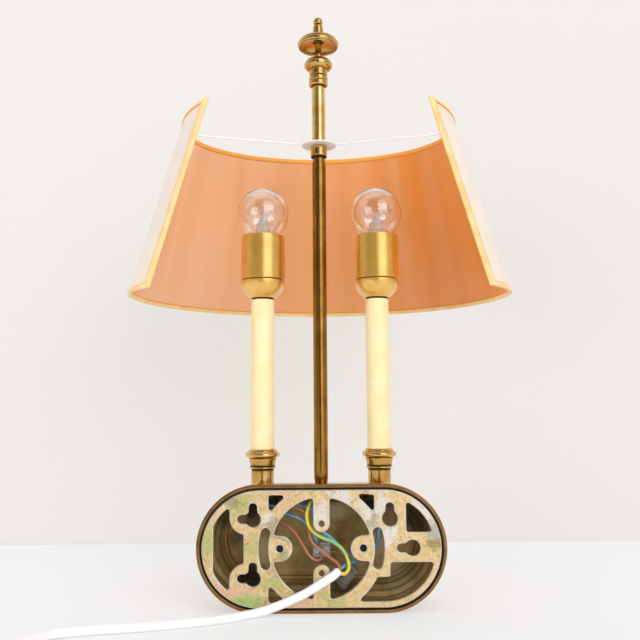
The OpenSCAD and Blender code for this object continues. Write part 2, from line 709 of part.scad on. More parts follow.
// Bulbs
module bulb_glass(side) {
    r = bulb_d / 2;
    shoulder_z = globe_z - 0.67 * r;
    shoulder_r = 0.735 * r;
    color("lightcyan", 0.4) at_candle(side) difference() {
        union() {
            translate([0, 0, globe_z]) sphere(r);
            translate([0, 0, bulb_cap_top]) cylinder(shoulder_z - bulb_cap_top, neck_r, shoulder_r);
            translate([0, 0, bulb_cap_top - 6]) cylinder(6.5, neck_r, neck_r);
        }
        translate([0, 0, globe_z]) sphere(r - glass_t);
        translate([0, 0, bulb_cap_top])
            cylinder(shoulder_z - bulb_cap_top, neck_r - glass_t, shoulder_r - glass_t);
        translate([0, 0, bulb_cap_top - 7]) cylinder(8, neck_r - glass_t, neck_r - glass_t);
    }
}
module bulb_cap(side) {
    r = bulb_cap_d / 2;
    sheet = 0.4;
    rows = 36;
    straight = 3;
    thread_h = bulb_cap_len - straight;
    inner_r = neck_r + 0.05;
    wave = [for (i = [0:rows]) let (z = thread_h * i / rows)
        [r - 0.22 + 0.22 * cos(360 * z / thread_pitch), z]];
    color("silver") at_candle(side) translate([0, 0, bulb_cap_z])
        turned(concat([[inner_r, 0]], wave,
                      [[r, thread_h], [r + 0.1, bulb_cap_len], [inner_r, bulb_cap_len]]));
}
module bulb_insulator(side) {
    r = bulb_cap_d / 2 - 0.95;
    color("black") at_candle(side) translate([0, 0, bulb_tip_z]) union() {
        translate([0, 0, 1]) cylinder(bulb_tip_h - 1, 5, r);
        translate([0, 0, bulb_tip_h - 0.01]) cylinder(2, r - 0.2, r - 0.2);
        cylinder(1.2, 3.6, 4.6);
    }
}
module bulb_filament(side) {
    flare_r = neck_r - glass_t - 0.1;
    flare_z = bulb_cap_top - 5.5;
    stem_z = globe_z - 11;
    ring_z = globe_z + 3;
    lead_r = 0.35;
    ring_wire = 0.6;
    lean = atan2(filament_r - 1, ring_z - stem_z);
    color("dimgray") at_candle(side) union() {
        turned([[0, flare_z], [flare_r, flare_z], [flare_r, flare_z + 1], [4, flare_z + 4], [3, flare_z + 7],
                [3, stem_z - 1], [2, stem_z + 1], [1.2, stem_z + 4], [0, stem_z + 4]]);
        for (a = [0, 120, 240]) rotate([0, 0, a + 10]) translate([1, 0, stem_z]) rotate([0, lean, 0])
            cylinder(norm([filament_r - 1, ring_z - stem_z]), lead_r, lead_r, $fn = 16);
        translate([0, 0, ring_z]) rotate_extrude() translate([filament_r, 0]) circle(ring_wire, $fn = 16);
    }
}

// Stem
module stem_tube() {
    color("darkgoldenrod") at_stem() translate([0, 0, base_top])
        ring_shape(stem_d / 2, thread_r + slip, stem_len);
}
module stem_rod() {
    rod_end = seat_z - washer_t - lug_t - nut_h - 3;
    color("darkgoldenrod") at_stem() translate([0, 0, rod_end])
        cylinder(rod_top - rod_end, thread_r, thread_r);
}
module shade_collar() {
    r = collar_d / 2;
    color("goldenrod") at_stem() translate([0, 0, collar_z0])
        turned([[thread_r + slip, 0], [r - 0.5, 0], [r, 0.5], [r, collar_h - 0.5], [r - 0.5, collar_h],
                [thread_r + slip, collar_h]]);
}

// Shade: two cut ovals, one above the other, joined by straight lines
function cut_angle(mid, rear) = asin((mid + shade_back) / rear);
function oval_point(half, mid, front, rear, u) =
    let (cut = cut_angle(mid, rear), a = lerp(-cut, 180 + cut, u), reach = sin(a) > 0 ? front : rear)
    [half * cos(a), -stem_back - mid - reach * sin(a), 0];
function low_point(u) = oval_point(low_half, low_mid, low_front, low_rear, u) + [0, 0, shade_z0];
function up_point(u) = oval_point(up_half, up_mid, up_front, up_rear, u) + [0, 0, shade_z0 + shade_h];
function shade_point(u, v) = lerp(low_point(u), up_point(u), v);
function shade_normal(u, v) = let (e = 0.002, a = max(u - e, 0), b = min(u + e, 1))
    unit(cross(up_point(u) - low_point(u), shade_point(b, v) - shade_point(a, v)));
// Patch of the shade's surface between two offsets, made a closed solid
module shade_patch(u0, u1, v0, v1, inner, outer, columns) {
    v_rows = [v0, v1];
    offsets = [inner, outer];
    points = [for (i = [0:columns], v = v_rows, o = offsets) let (u = lerp(u0, u1, i / columns))
        shade_point(u, v) + o * shade_normal(u, v)];
    belts = [for (i = [0:columns - 1]) let (a = 4 * i, b = a + 4) each [
        [a, a + 2, b + 2], [a, b + 2, b],
        [a + 1, b + 3, a + 3], [a + 1, b + 1, b + 3],
        [a, b + 1, a + 1], [a, b, b + 1],
        [a + 2, a + 3, b + 3], [a + 2, b + 3, b + 2]]];
    z = 4 * columns;
    ends = [[0, 3, 2], [0, 1, 3], [z, z + 2, z + 3], [z, z + 3, z + 1]];
    polyhedron(points, concat(belts, ends));
}
shade_slant = norm(up_point(0) - low_point(0));
tape_v = tape_w / shade_slant;
tape_u = side_tape_w / route_length([for (i = [0:60]) shade_point(i / 60, 0.5)]);
shade_columns = 60;
module shade_cover() {
    color("linen") shade_patch(tape_u, 1 - tape_u, tape_v, 1 - tape_v, 0, cover_t, shade_columns);
}
module shade_lining() {
    color("sandybrown") shade_patch(tape_u, 1 - tape_u, tape_v, 1 - tape_v, -lining_t, 0, shade_columns);
}
// Band round the whole edge, one closed ring of four-cornered sections
module shade_tape() {
    out = (tape_t + cover_t - lining_t) / 2;
    in = out - tape_t;
    rows = 4;
    loop = concat(
        [for (i = [0:shade_columns]) [i / shade_columns, 0]],
        [for (i = [1:rows - 1]) [1, i / rows]],
        [for (i = [shade_columns:-1:0]) [i / shade_columns, 1]],
        [for (i = [rows - 1:-1:1]) [0, i / rows]]);
    stations = len(loop);
    points = [for (at = loop, edge = [0, 1], o = [in, out])
        let (u = lerp(edge * tape_u, 1 - edge * tape_u, at[0]),
             v = lerp(edge * tape_v, 1 - edge * tape_v, at[1]))
        shade_point(u, v) + o * shade_normal(u, v)];
    belts = [for (i = [0:stations - 1]) let (a = 4 * i, b = 4 * ((i + 1) % stations)) each [
        [a, a + 2, b + 2], [a, b + 2, b],
        [a + 1, b + 3, a + 3], [a + 1, b + 1, b + 3],
        [a, b + 1, a + 1], [a, b, b + 1],
        [a + 2, a + 3, b + 3], [a + 2, b + 3, b + 2]]];
    color("orange") polyhedron(points, belts);
}
// Wire loop in the middle of the tape, round the whole edge
module shade_wire() {
    u = tape_u / 2;
    v = tape_v / 2;
    steps = 48;
    mid = (cover_t - lining_t) / 2;
    function wire_point(s, t) = shade_point(s, t) + mid * shade_normal(s, t);
    path = concat(
        [for (i = [0:steps]) wire_point(lerp(u, 1 - u, i / steps), v)],
        [for (i = [1:5]) wire_point(1 - u, lerp(v, 1 - v, i / 6))],
        [for (i = [steps:-1:0]) wire_point(lerp(u, 1 - u, i / steps), 1 - v)],
        [for (i = [5:-1:1]) wire_point(u, lerp(v, 1 - v, i / 6))],
        [wire_point(u, v), wire_point(lerp(u, 1 - u, 0.5 / steps), v)]);
    color("white") tube(path, wire_d / 2, 6);
}
module bar(a, b, r) {
    d = b - a;
    translate(a) rotate([0, acos(d[2] / norm(d)), atan2(d[1], d[0])]) cylinder(norm(d), r, r, $fn = 24);
}
module shade_carrier() {
    arm_z = disc_z + disc_t / 2;
    arm_v = (arm_z + arm_rise - shade_z0) / shade_h;
    hub = [0, -stem_back, arm_z];
    start_r = disc_d / 2 - 3;
    ends = [shade_point(tape_u / 2, arm_v), shade_point(1 - tape_u / 2, arm_v),
            shade_point(0.5, 1 - tape_v / 2)];
    color("white") difference() {
        union() {
            translate([0, -stem_back, disc_z]) cylinder(disc_t, disc_d / 2, disc_d / 2);
            for (end = ends) bar(hub + start_r * unit([end[0], end[1] + stem_back, 0]), end, arm_d / 2);
        }
        translate([0, -stem_back, disc_z - 1])
            cylinder(disc_t + 2, thread_r + running_gap, thread_r + running_gap);
    }
}

// Upper stem and finial
module upper_tube() {
    color("goldenrod") at_stem() translate([0, 0, upper_z0])
        ring_shape(stem_d / 2, thread_r + running_gap, upper_len);
}
finial_bore = finial_stud_d / 2 + 0.1;
module finial_ferrule() {
    r = ferrule_r;
    low = 0.3 * ferrule_h;
    high = 0.58 * ferrule_h;
    color("goldenrod") at_stem() translate([0, 0, upper_z1]) turned(concat(
        [[finial_bore, -6], [thread_r + slip, -6], [thread_r + slip, 0], [r - 1, 0]],
        bead(r - 0.8, r, 0, low), bead(r - 0.8, r, low, high),
        [[r - 0.9, high + 0.4], [r - 0.5, high + 0.8], [r - 0.4, ferrule_h], [finial_bore, ferrule_h]]));
}
module finial_bell() {
    r = bell_r;
    rim = 0.42 * bell_h;
    color("goldenrod") at_stem() translate([0, 0, ferrule_z1]) turned(concat(
        [[finial_bore, 0], [ferrule_r, 0]],
        quarter(ferrule_r, r, 0, rim),
        [for (i = [1:round_steps]) let (a = 90 * i / round_steps)
            [lerp(finial_bore + 2, r, cos(a)), lerp(rim, bell_h, sin(a))]],
        [[finial_bore, bell_h]]));
}
module finial_saucer() {
    r = saucer_r;
    lip_h = 1.2;
    hub_r = spindle_r + 1.2;
    edge_z = saucer_foot + saucer_edge;
    ceiling_z = saucer_foot + saucer_hollow;
    color("goldenrod") at_stem() translate([0, 0, bell_z1]) turned(concat(
        [[finial_bore, 0], [spindle_r, 0], [spindle_r, ceiling_z - 1.2]],
        [for (i = [0:round_steps]) let (a = 90 - 90 * i / round_steps)
            [lerp(hub_r, r - 1.9, cos(a)), lerp(saucer_foot, ceiling_z, sin(a))]],
        bead(r - 1.4, r - 0.8, saucer_foot, saucer_foot + lip_h),
        bead(r - 1.2, r, saucer_foot + lip_h, edge_z),
        [for (i = [0:round_steps]) let (a = 90 * i / round_steps)
            [lerp(knob_r, r - 1.4, cos(a)), lerp(edge_z, saucer_h, sin(a))]],
        [[finial_bore, saucer_h]]));
}
module finial_knob() {
    ring_h = knob_h - 1.8 * knob_r;
    ball_z = knob_h - knob_r;
    a0 = -asin(min(0.8, (ball_z - ring_h - 0.6) / knob_r));
    color("goldenrod") at_stem() translate([0, 0, saucer_z1]) turned(concat(
        [[finial_bore, 0], [knob_r - 0.4, 0]],
        bead(knob_r - 0.4, knob_r + 0.5, 0.4, ring_h),
        [for (i = [0:round_steps]) let (a = lerp(a0, 90, i / round_steps))
            [knob_r * cos(a), ball_z + knob_r * sin(a)]],
        [[0, ball_z], [finial_bore, ball_z]]));
}
module finial_stud() {
    start = upper_z1 - 5;
    color("silver") at_stem() translate([0, 0, start])
        cylinder(saucer_z1 + knob_h - knob_r - 0.5 - start, finial_stud_d / 2, finial_stud_d / 2);
}

// Electrics inside the base
module terminal_block() {
    size = [15, 13, 12];
    color("lightgray") translate([-7.5, -28, -10]) union() {
        translate([0, 2, 0]) cube([size[0], size[1] - 4, size[2]]);
        for (x = [0, 8]) translate([x, 0, 2]) cube([7, size[1], 8]);
    }
}
module push_connector() {
    color("lightsteelblue") translate([-20.5, -17.5, -24.5]) rotate([0, 49, 0]) union() {
        cube([20, 13, 11], center = true);
        translate([0, 7, 0]) cube([12, 3, 7], center = true);
    }
}
// Run of a wire from the base up a candle's tube to the lamp holder
function riser(side, dx, dy) = [for (z = [tube_end - 2, tube_end + 8, tube_end + 20, insert_z0])
    [side * candle_x + dx, -stem_back + dy, z]];
lead_step = 0.7 * lead_d;
module lead(route) {
    tube(smooth_route(route, 2), lead_d / 2, 6);
}
function backwards(p) = [for (i = [len(p) - 1:-1:0]) p[i]];
module brown_wires() {
    color("chocolate") {
        lead(concat(brown_feed, riser(1, lead_step, lead_step)));
        lead(concat(brown_loop, riser(1, lead_step, -lead_step)));
        lead(concat(brown_right, riser(-1, 0, -lead_step)));
    }
}
module blue_wires() {
    color("steelblue") {
        lead(concat(backwards(riser(-1, 0, lead_step)), blue_loop, riser(1, -lead_step, lead_step)));
        lead(concat(blue_left, riser(1, -lead_step, -lead_step)));
        lead(blue_feed);
    }
}
module earth_wire() {
    lug_end = [3, lug_reach - stem_back - 2, seat_z - washer_t - lug_t - earth_d / 2 + 0.5];
    color("yellowgreen") tube(smooth_route(concat([lug_end], earth_route), 2), earth_d / 2, 6);
}

// Mains cable, coiled out of the way at its far end
function coil_radius(turn) =
    turn < coil_turns ? coil_out - coil_pitch * turn :
    turn < coil_turns + 0.5 ? let (s = turn - coil_turns) coil_in - coil_pitch * (s - 2 * s * s) :
    coil_in + coil_pitch * (turn - coil_turns - 0.5);
function coil_height(turn) =
    let (t = max(0, min(1, (turn - coil_turns) / 0.5))) coil_z + coil_layer * t * t * (3 - 2 * t);
function coil_point(turn) =
    [coil_x + coil_radius(turn) * cos(360 * turn), coil_y + coil_radius(turn) * sin(360 * turn),
     coil_height(turn)];
loop_rings = 24;
coil_count = round((2 * coil_turns + 0.5) * loop_rings);
coil_loops = [for (i = [0:coil_count]) coil_point(i / loop_rings)];
coil_in_dir = unit(coil_loops[1] - coil_loops[0]);
coil_out_dir = unit(last(coil_loops) - coil_loops[coil_count - 1]);
coil_start = coil_loops[0] - cable_d * coil_in_dir;
coil_finish = last(coil_loops) + cable_d * coil_out_dir;
coil_path = concat([coil_start], coil_loops, [coil_finish]);
cable_path = smooth_route(concat(cable_route, [coil_start - 9 * coil_in_dir, coil_start]), 2);
plug_x = coil_finish[0] + 1.5;
plug_y = coil_finish[1] + 48;
plug_relief = 20;
plug_lead = [coil_finish, coil_finish + 10 * coil_out_dir, coil_finish + [1, 24, 5],
             [plug_x, plug_y - 10, plug_z], [plug_x, plug_y, plug_z]];
coil_gap = min([for (i = [0:coil_count], j = [i + loop_rings / 2:1:coil_count])
    norm(coil_loops[i] - coil_loops[min(j, coil_count)])]) - cable_d;
cord_length = route_length(cable_path) + route_length(coil_path) + route_length(smooth_route(plug_lead, 3));
echo(coil_gap = coil_gap, cord_length = cord_length, coil_finish = coil_finish);
module mains_cable() {
    color("white") {
        tube(cable_path, cable_r, 8);
        tube(smooth_route(plug_lead, 3), cable_r, 8);
    }
}
module mains_cable_coil() {
    color("white") tube(coil_path, cable_r, 6);
}
// Tie round the coil's ring on the side away from the cable
module coil_tie() {
    width = 9;
    mid_r = coil_out - coil_pitch * (coil_turns + 0.25) / 2;
    across = [coil_pitch * (coil_turns - 0.75) + cable_d + 2 * tie_gap, coil_layer + cable_d + 2 * tie_gap];
    color("black") translate([coil_x - mid_r, coil_y, coil_z + coil_layer / 2]) difference() {
        cube([across[0] + 2 * tie_t, width, across[1] + 2 * tie_t], center = true);
        cube([across[0], width + 2, across[1]], center = true);
    }
}
module mains_plug() {
    r = plug_d / 2;
    relief = plug_relief;
    color("white") translate([plug_x, plug_y, plug_z]) rotate([-90, 0, 0]) turned(concat(
        [[0, 0], [cable_r + 1.2, 0], [cable_r + 2.6, relief - 4]],
        quarter(cable_r + 3, r - 3, relief - 4, relief + 4),
        [[r - 2, relief + 8], [r - 3, relief + 14], [r - 1, relief + 20], [r, relief + 24],
         [r, relief + plug_len], [0, relief + plug_len]]));
}
module plug_pins() {
    pin_r = 2.4;
    pin_len = 19;
    color("silver") for (s = [-1, 1])
        translate([plug_x + s * pin_spacing / 2, plug_y + plug_relief + plug_len, plug_z]) rotate([-90, 0, 0])
            turned(concat([[0, 0], [pin_r, 0]], [for (i = [0:round_steps]) let (a = 90 * i / round_steps)
                [pin_r * cos(a), pin_len - pin_r + pin_r * sin(a)]]));
}

base_shell();
wall_plate();
plate_studs();
cap_nuts();
earth_lug();
base_washers();
base_nuts();
candle_cup(1);  // candle_cup_left
candle_cup(-1);  // candle_cup_right
candle_tube(1);  // candle_tube_left
candle_tube(-1);  // candle_tube_right
candle_sleeve(1);  // candle_sleeve_left
candle_sleeve(-1);  // candle_sleeve_right
sleeve_ring(1);  // sleeve_ring_left
sleeve_ring(-1);  // sleeve_ring_right
holder_cap(1);  // holder_cap_left
holder_cap(-1);  // holder_cap_right
holder_shell(1);  // holder_shell_left
holder_shell(-1);  // holder_shell_right
holder_insert(1);  // holder_insert_left
holder_insert(-1);  // holder_insert_right
socket_thread(1);  // socket_thread_left
socket_thread(-1);  // socket_thread_right
socket_contact(1);  // socket_contact_left
socket_contact(-1);  // socket_contact_right
bulb_glass(1);  // bulb_glass_left
bulb_glass(-1);  // bulb_glass_right
bulb_cap(1);  // bulb_cap_left
bulb_cap(-1);  // bulb_cap_right
bulb_insulator(1);  // bulb_insulator_left
bulb_insulator(-1);  // bulb_insulator_right
bulb_filament(1);  // bulb_filament_left
bulb_filament(-1);  // bulb_filament_right
stem_tube();
stem_rod();
shade_collar();
shade_carrier();
shade_wire();
shade_cover();
shade_lining();
shade_tape();
upper_tube();
finial_ferrule();
finial_bell();
finial_saucer();
finial_knob();
finial_stud();
terminal_block();
push_connector();
brown_wires();
blue_wires();
earth_wire();
mains_cable();
mains_cable_coil();
coil_tie();
mains_plug();
plug_pins();
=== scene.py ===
"""Looks of a two-candle wall lamp with a half shade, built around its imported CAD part.

Smooth pieces stand for most CAD nodes; the others keep their CAD shape and get a finished material.
The modelling functions work in millimetres in the part's frame: +Z is up, +X is the side of the left
candle, +Y is the wall side that the picture looks at. Meshes are stored in metres.
"""

import math

import bmesh
import bpy
import numpy as np
from mathutils import Matrix, Vector


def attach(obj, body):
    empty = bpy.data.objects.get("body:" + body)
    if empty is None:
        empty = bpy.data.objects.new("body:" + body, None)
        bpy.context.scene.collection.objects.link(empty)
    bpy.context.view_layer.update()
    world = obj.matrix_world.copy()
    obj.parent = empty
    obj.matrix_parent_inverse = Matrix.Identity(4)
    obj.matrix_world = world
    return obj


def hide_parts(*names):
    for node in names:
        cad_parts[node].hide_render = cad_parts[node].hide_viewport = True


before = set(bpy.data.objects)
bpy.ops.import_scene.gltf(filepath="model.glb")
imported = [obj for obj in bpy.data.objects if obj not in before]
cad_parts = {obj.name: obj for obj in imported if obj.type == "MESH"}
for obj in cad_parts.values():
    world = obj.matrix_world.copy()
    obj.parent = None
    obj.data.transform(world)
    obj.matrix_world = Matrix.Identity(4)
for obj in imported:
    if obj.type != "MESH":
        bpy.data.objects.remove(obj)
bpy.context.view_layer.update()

MM = 0.001
TURN = 2 * math.pi

# Sizes in millimetres, the same as in the part's source
BASE_R, BASE_HALF, BASE_DEPTH, WALL, SIDE_DEPTH, COVE = 51.0, 50.5, 56.0, 3.0, 39.0, 12.0
BASE_TOP, RIM_LIP, RIM_DEPTH, EDGE_R, STUD_X = 48.8, 2.2, 4.5, 3.0, 33.75
STEM_Y, CANDLE_X, SEAT_Z = -27.0, 49.5, 44.6
THREAD_R, SLIP = 5.0, 0.25
CUP_TOP, SLEEVE_TOP, SLEEVE_R = 78.3, 206.0, 10.0
DOME_LOW, DOME_TOP, HOLDER_R, SHELL_H = 207.3, 223.0, 19.5, 39.0
CAP_LOW, CAP_TOP, GLOBE_Z, GLOBE_R = 235.5, 258.5, 282.0, 22.5
NECK_R, GLASS = 12.15, 0.8
COLLAR_LOW, COLLAR_H, DISC_LOW, DISC_TOP = 332.8, 10.2, 343.3, 344.5
TUBE_LOW, TUBE_TOP, BELL_LOW, SAUCER_LOW, KNOB_LOW = 344.8, 398.7, 413.7, 424.2, 445.2
TUBE_END, INSERT_LOW = 34.1, 214.8
CABLE_R, LEAD_R, EARTH_R = 3.5, 1.2, 1.5
# Table top, which the cable lies on
TABLE_Z = -51.0


# Curves and profiles

def unit(v):
    """Vectors of an array, each divided by its length."""
    return v / np.maximum(np.linalg.norm(v, axis=-1, keepdims=True), 1e-12)


def smooth_run(points, steps):
    """Points on a smooth curve through a route.

    Each stretch is a cubic Hermite curve. Its end slopes are the unit directions between the
    neighbouring points, times the stretch's own length."""
    p = np.asarray(points, float)
    ends = np.vstack([p[:1], p, p[-1:]])
    slope = unit(ends[2:] - ends[:-2])
    length = np.linalg.norm(np.diff(p, axis=0), axis=1)[:, None, None]
    t = (np.arange(steps) / steps)[None, :, None]
    a, b, ta, tb = p[:-1, None], p[1:, None], slope[:-1, None], slope[1:, None]
    curve = ((2 * t**3 - 3 * t**2 + 1) * a + (t**3 - 2 * t**2 + t) * length * ta
             + (3 * t**2 - 2 * t**3) * b + (t**3 - t**2) * length * tb)
    return np.vstack([curve.reshape(-1, 3), p[-1:]])


def run_length(points):
    """Length of a line through points."""
    return float(np.linalg.norm(np.diff(points, axis=0), axis=1).sum())


def soften(points, radius, steps=4, loop=False):
    """A line with rounded corners.

    Each corner becomes a quadratic Bezier curve. It starts and ends on the two sides, a radius away
    from the corner or half a side if that is less."""
    p = np.asarray(points, float)
    before, after = np.roll(p, 1, 0), np.roll(p, -1, 0)
    if not loop:
        before[0], after[-1] = p[0], p[-1]
    reach = [np.minimum(0.5, radius / np.maximum(np.linalg.norm(q - p, axis=1, keepdims=True), 1e-9))
             for q in (before, after)]
    a = (p + (before - p) * reach[0])[:, None]
    b = (p + (after - p) * reach[1])[:, None]
    t = np.linspace(0, 1, steps + 1)[None, :, None]
    curve = (1 - t) ** 2 * a + 2 * t * (1 - t) * p[:, None] + t**2 * b
    return curve.reshape(-1, p.shape[1])


def even(points, step):
    """A line's points again, a fixed distance apart along it."""
    p = np.asarray(points, float)
    along = np.concatenate([[0], np.cumsum(np.linalg.norm(np.diff(p, axis=0), axis=1))])
    at = np.linspace(0, along[-1], max(2, int(round(along[-1] / step)) + 1))
    return np.column_stack([np.interp(at, along, p[:, k]) for k in range(p.shape[1])])


def bead(r0, r1, z0, z1, steps=16):
    """Half-round bulge: the radius goes from r0 out to r1 and back as the height goes from z0 to z1."""
    a = np.linspace(0, math.pi, steps + 1)
    return np.column_stack([r0 + (r1 - r0) * np.sin(a), z0 + (z1 - z0) * (1 - np.cos(a)) / 2])


def quarter(r0, r1, z0, z1, steps=16, power=1.0):
    """Quarter bend from r0 to r1 and z0 to z1 that leaves along the radius."""
    a = np.linspace(0, math.pi / 2, steps + 1)
    return np.column_stack([r0 + (r1 - r0) * np.sin(a) ** power, z0 + (z1 - z0) * (1 - np.cos(a))])


def crown(r0, r1, z0, z1, steps=16):
    """Quarter bend from r1 at z0 inwards to r0 at z1, upright where it starts."""
    a = np.linspace(0, math.pi / 2, steps + 1)
    return np.column_stack([r0 + (r1 - r0) * np.cos(a), z0 + (z1 - z0) * np.sin(a)])


def ring_profile(r_in, r_out, z0, z1, radius=0.4):
    """Closed outline of a ring's wall with rounded corners."""
    corners = [[r_in, z0], [r_out, z0], [r_out, z1], [r_in, z1]]
    return soften(corners, radius, 5, loop=True)


# Grids of points: rows of closed sections

def turned(profile, x=0.0, y=STEM_Y, z=0.0, count=72):
    """Grid of a turned piece: (radius, height) points swept round an upright axis at x, y."""
    r, h = np.asarray(profile, float).T
    a = np.arange(count) * TURN / count
    return np.stack([x + r[:, None] * np.cos(a), y + r[:, None] * np.sin(a),
                     np.repeat((z + h)[:, None], count, 1)], -1)


def grooves(profile):
    """How far each point of an even profile lies in a groove, from -1 on a ridge to 1.

    The profile is blurred along its length, and the blur's distance outside the surface is measured
    along the surface's normal, where a quarter of a millimetre counts as 1."""
    p = np.asarray(profile, float)
    reach, spread, full = 9, 3.0, 0.25
    k = np.exp(-0.5 * (np.arange(-reach, reach + 1) / spread) ** 2)
    padded = np.pad(p, ((reach, reach), (0, 0)), mode="edge")
    blur = np.column_stack([np.convolve(padded[:, i], k / k.sum(), "valid") for i in (0, 1)])
    t = unit(np.gradient(p, axis=0))
    normal = np.column_stack([t[:, 1], -t[:, 0]])
    return np.clip(((blur - p) * normal).sum(1) / full, -1, 1)


def oval_sweep(profile, count=48):
    """Grid of the base: (reach, depth) points swept round a straight spine with half-round ends."""
    reach, depth = np.asarray(profile, float).T
    half = np.linspace(-math.pi / 2, math.pi / 2, count + 1)
    a = np.concatenate([half, half + math.pi])
    spine = np.repeat([BASE_HALF, -BASE_HALF], count + 1)
    return np.stack([spine + reach[:, None] * np.cos(a), np.repeat(-depth[:, None], len(a), 1),
                     reach[:, None] * np.sin(a)], -1)


def swept(path, radius, up, count=14):
    """Grid of a round tube along a path. Its sides are square to the path and to the given direction."""
    p = np.asarray(path, float)
    ahead = unit(np.gradient(p, axis=0))
    side = unit(np.cross(ahead, np.asarray(up, float)))
    top = np.cross(side, ahead)
    a = np.arange(count) * TURN / count
    circle = np.cos(a)[None, :, None] * side[:, None] + np.sin(a)[None, :, None] * top[:, None]
    return p[:, None] + radius * circle


def block(centre, size, radius, turn=0.0, steps=4):
    """Grid of a box with rounded edges, turned about the Y axis by an angle in degrees.

    Its outline has four rounded corners. The outline shrinks along a quarter circle at each end."""
    half = np.asarray(size, float) / 2
    q = np.linspace(0, math.pi / 2, steps + 1)
    signs = np.array([[1, 1], [-1, 1], [-1, -1], [1, -1]])
    corner = np.repeat(signs, steps + 1, 0) * (half[[0, 2]] - radius)
    a = (np.arange(4)[:, None] * math.pi / 2 + q[None, :]).ravel()
    r = radius * np.concatenate([np.sin(q), np.sin(q)[::-1]])
    y = np.concatenate([-half[1] + radius - radius * np.cos(q),
                        half[1] - radius + radius * np.cos(q[::-1])])
    x = corner[None, :, 0] + r[:, None] * np.cos(a)
    z = corner[None, :, 1] + r[:, None] * np.sin(a)
    c, s = math.cos(math.radians(turn)), math.sin(math.radians(turn))
    deep = np.repeat(y[:, None], len(a), 1)
    return np.stack([x * c + z * s, deep, z * c - x * s], -1) + np.asarray(centre)


# Shade: two cut ovals, one above the other, joined by straight lines

LOW_OVAL = dict(half=173.5, mid=39.0, front=157.5, rear=113.3, z=214.1)
TOP_OVAL = dict(half=127.5, mid=57.0, front=93.6, rear=122.8, z=379.5)
SHADE_BACK = 25.0
COVER, LINING, TAPE_W, SIDE_TAPE_W, TAPE_T = 0.8, 0.6, 4.8, 8.6, 3.4
# Steps round each corner of the tape's section
TAPE_STEPS = 6


def oval(u, half, mid, front, rear, z):
    """Points on a cut oval for u from 0 to 1: half an ellipse in front, a shorter or longer one behind."""
    cut = math.asin((mid + SHADE_BACK) / rear)
    a = -cut + (math.pi + 2 * cut) * u
    reach = np.where(np.sin(a) > 0, front, rear)
    return np.stack([half * np.cos(a), STEM_Y - mid - reach * np.sin(a), np.full_like(a, z)], -1)


def shade_at(u, v, out):
    """Points on the shade: u runs round it, v up its slant, and out is the distance along its normal."""
    u, v, out = (np.asarray(k, float) for k in np.broadcast_arrays(u, v, out))
    low, top = oval(u, **LOW_OVAL), oval(u, **TOP_OVAL)
    nudge = 0.002
    a, b = np.maximum(u - nudge, 0), np.minimum(u + nudge, 1)
    v1 = v[..., None]
    step = ((oval(b, **LOW_OVAL) - oval(a, **LOW_OVAL)) * (1 - v1)
            + (oval(b, **TOP_OVAL) - oval(a, **TOP_OVAL)) * v1)
    return low + (top - low) * v1 + out[..., None] * unit(np.cross(top - low, step))


SLANT = float(np.linalg.norm(shade_at(0.0, 1.0, 0.0) - shade_at(0.0, 0.0, 0.0)))
TAPE_V = TAPE_W / SLANT
TAPE_U = SIDE_TAPE_W / run_length(shade_at(np.linspace(0, 1, 61), 0.5, 0.0))


def shade_sheet(inner, outer, columns=180, rows=20):
    """Grid of a cloth on the shade: its section goes up the outside and down the inside.

    The sheet ends a third of the tape's width from each edge, inside the tape."""
    u = np.linspace(TAPE_U / 3, 1 - TAPE_U / 3, columns)[:, None]
    v = np.linspace(TAPE_V / 3, 1 - TAPE_V / 3, rows)
    up = np.concatenate([v, v[::-1]])[None, :]
    out = np.concatenate([np.full(rows, outer), np.full(rows, inner)])[None, :]
    return shade_at(u, up, out)


def tape_band(columns=200, rows=90):
    """Grid of the edge tape: a rounded section carried round the shade's whole edge, mitred at corners."""
    s, t = np.linspace(0, 1, columns), np.linspace(0, 1, rows)[1:-1]
    loop = np.vstack([np.column_stack([s, 0 * s]), np.column_stack([0 * t + 1, t]),
                      np.column_stack([s[::-1], 0 * s + 1]), np.column_stack([0 * t, t[::-1]])])
    mid = (COVER - LINING) / 2
    corners = [[0, -TAPE_T / 2], [TAPE_W, -TAPE_T / 2], [TAPE_W, TAPE_T / 2], [0, TAPE_T / 2]]
    section = soften(corners, 1.6, TAPE_STEPS, loop=True)
    w, out = section[:, 0] / TAPE_W, section[:, 1] + mid
    u = w * TAPE_U + loop[:, :1] * (1 - 2 * w * TAPE_U)
    v = w * TAPE_V + loop[:, 1:] * (1 - 2 * w * TAPE_V)
    return shade_at(u, v, out[None, :])


# Distance round the ribbon's section, in metres, at which its two long edges meet on the cloth: two
# rounded corners and two sides on from the section's start
TAPE_SIDES = np.linalg.norm(np.diff(tape_band(), axis=1), axis=-1).mean(0)
RIBBON_SEAM = float(TAPE_SIDES[:2 * (TAPE_STEPS + 1)].sum()) * MM


# Nodes and materials

def linear(colour):
    """Linear colour, with alpha 1, of an sRGB colour written as six hex digits."""
    c = np.array([int(colour[i:i + 2], 16) for i in (0, 2, 4)]) / 255
    rgb = np.where(c <= 0.04045, c / 12.92, ((c + 0.055) / 1.055) ** 2.4)
    return (*rgb.tolist(), 1.0)


def per_metre(size):
    """Scale of a noise whose spots lie about so many millimetres apart."""
    return 1 / (size * MM)


def bands_per_metre(size):
    """Scale of a wave whose bands lie so many millimetres apart: at scale 1 they are pi / 10 m apart."""
    return math.pi / 10 / (size * MM)


def wire(tree, node, inputs):
    """Fills a node's sockets: an output is linked, any other value is stored."""
    for key, value in inputs.items():
        if isinstance(value, bpy.types.NodeSocket):
            tree.links.new(value, node.inputs[key])
        else:
            node.inputs[key].default_value = value


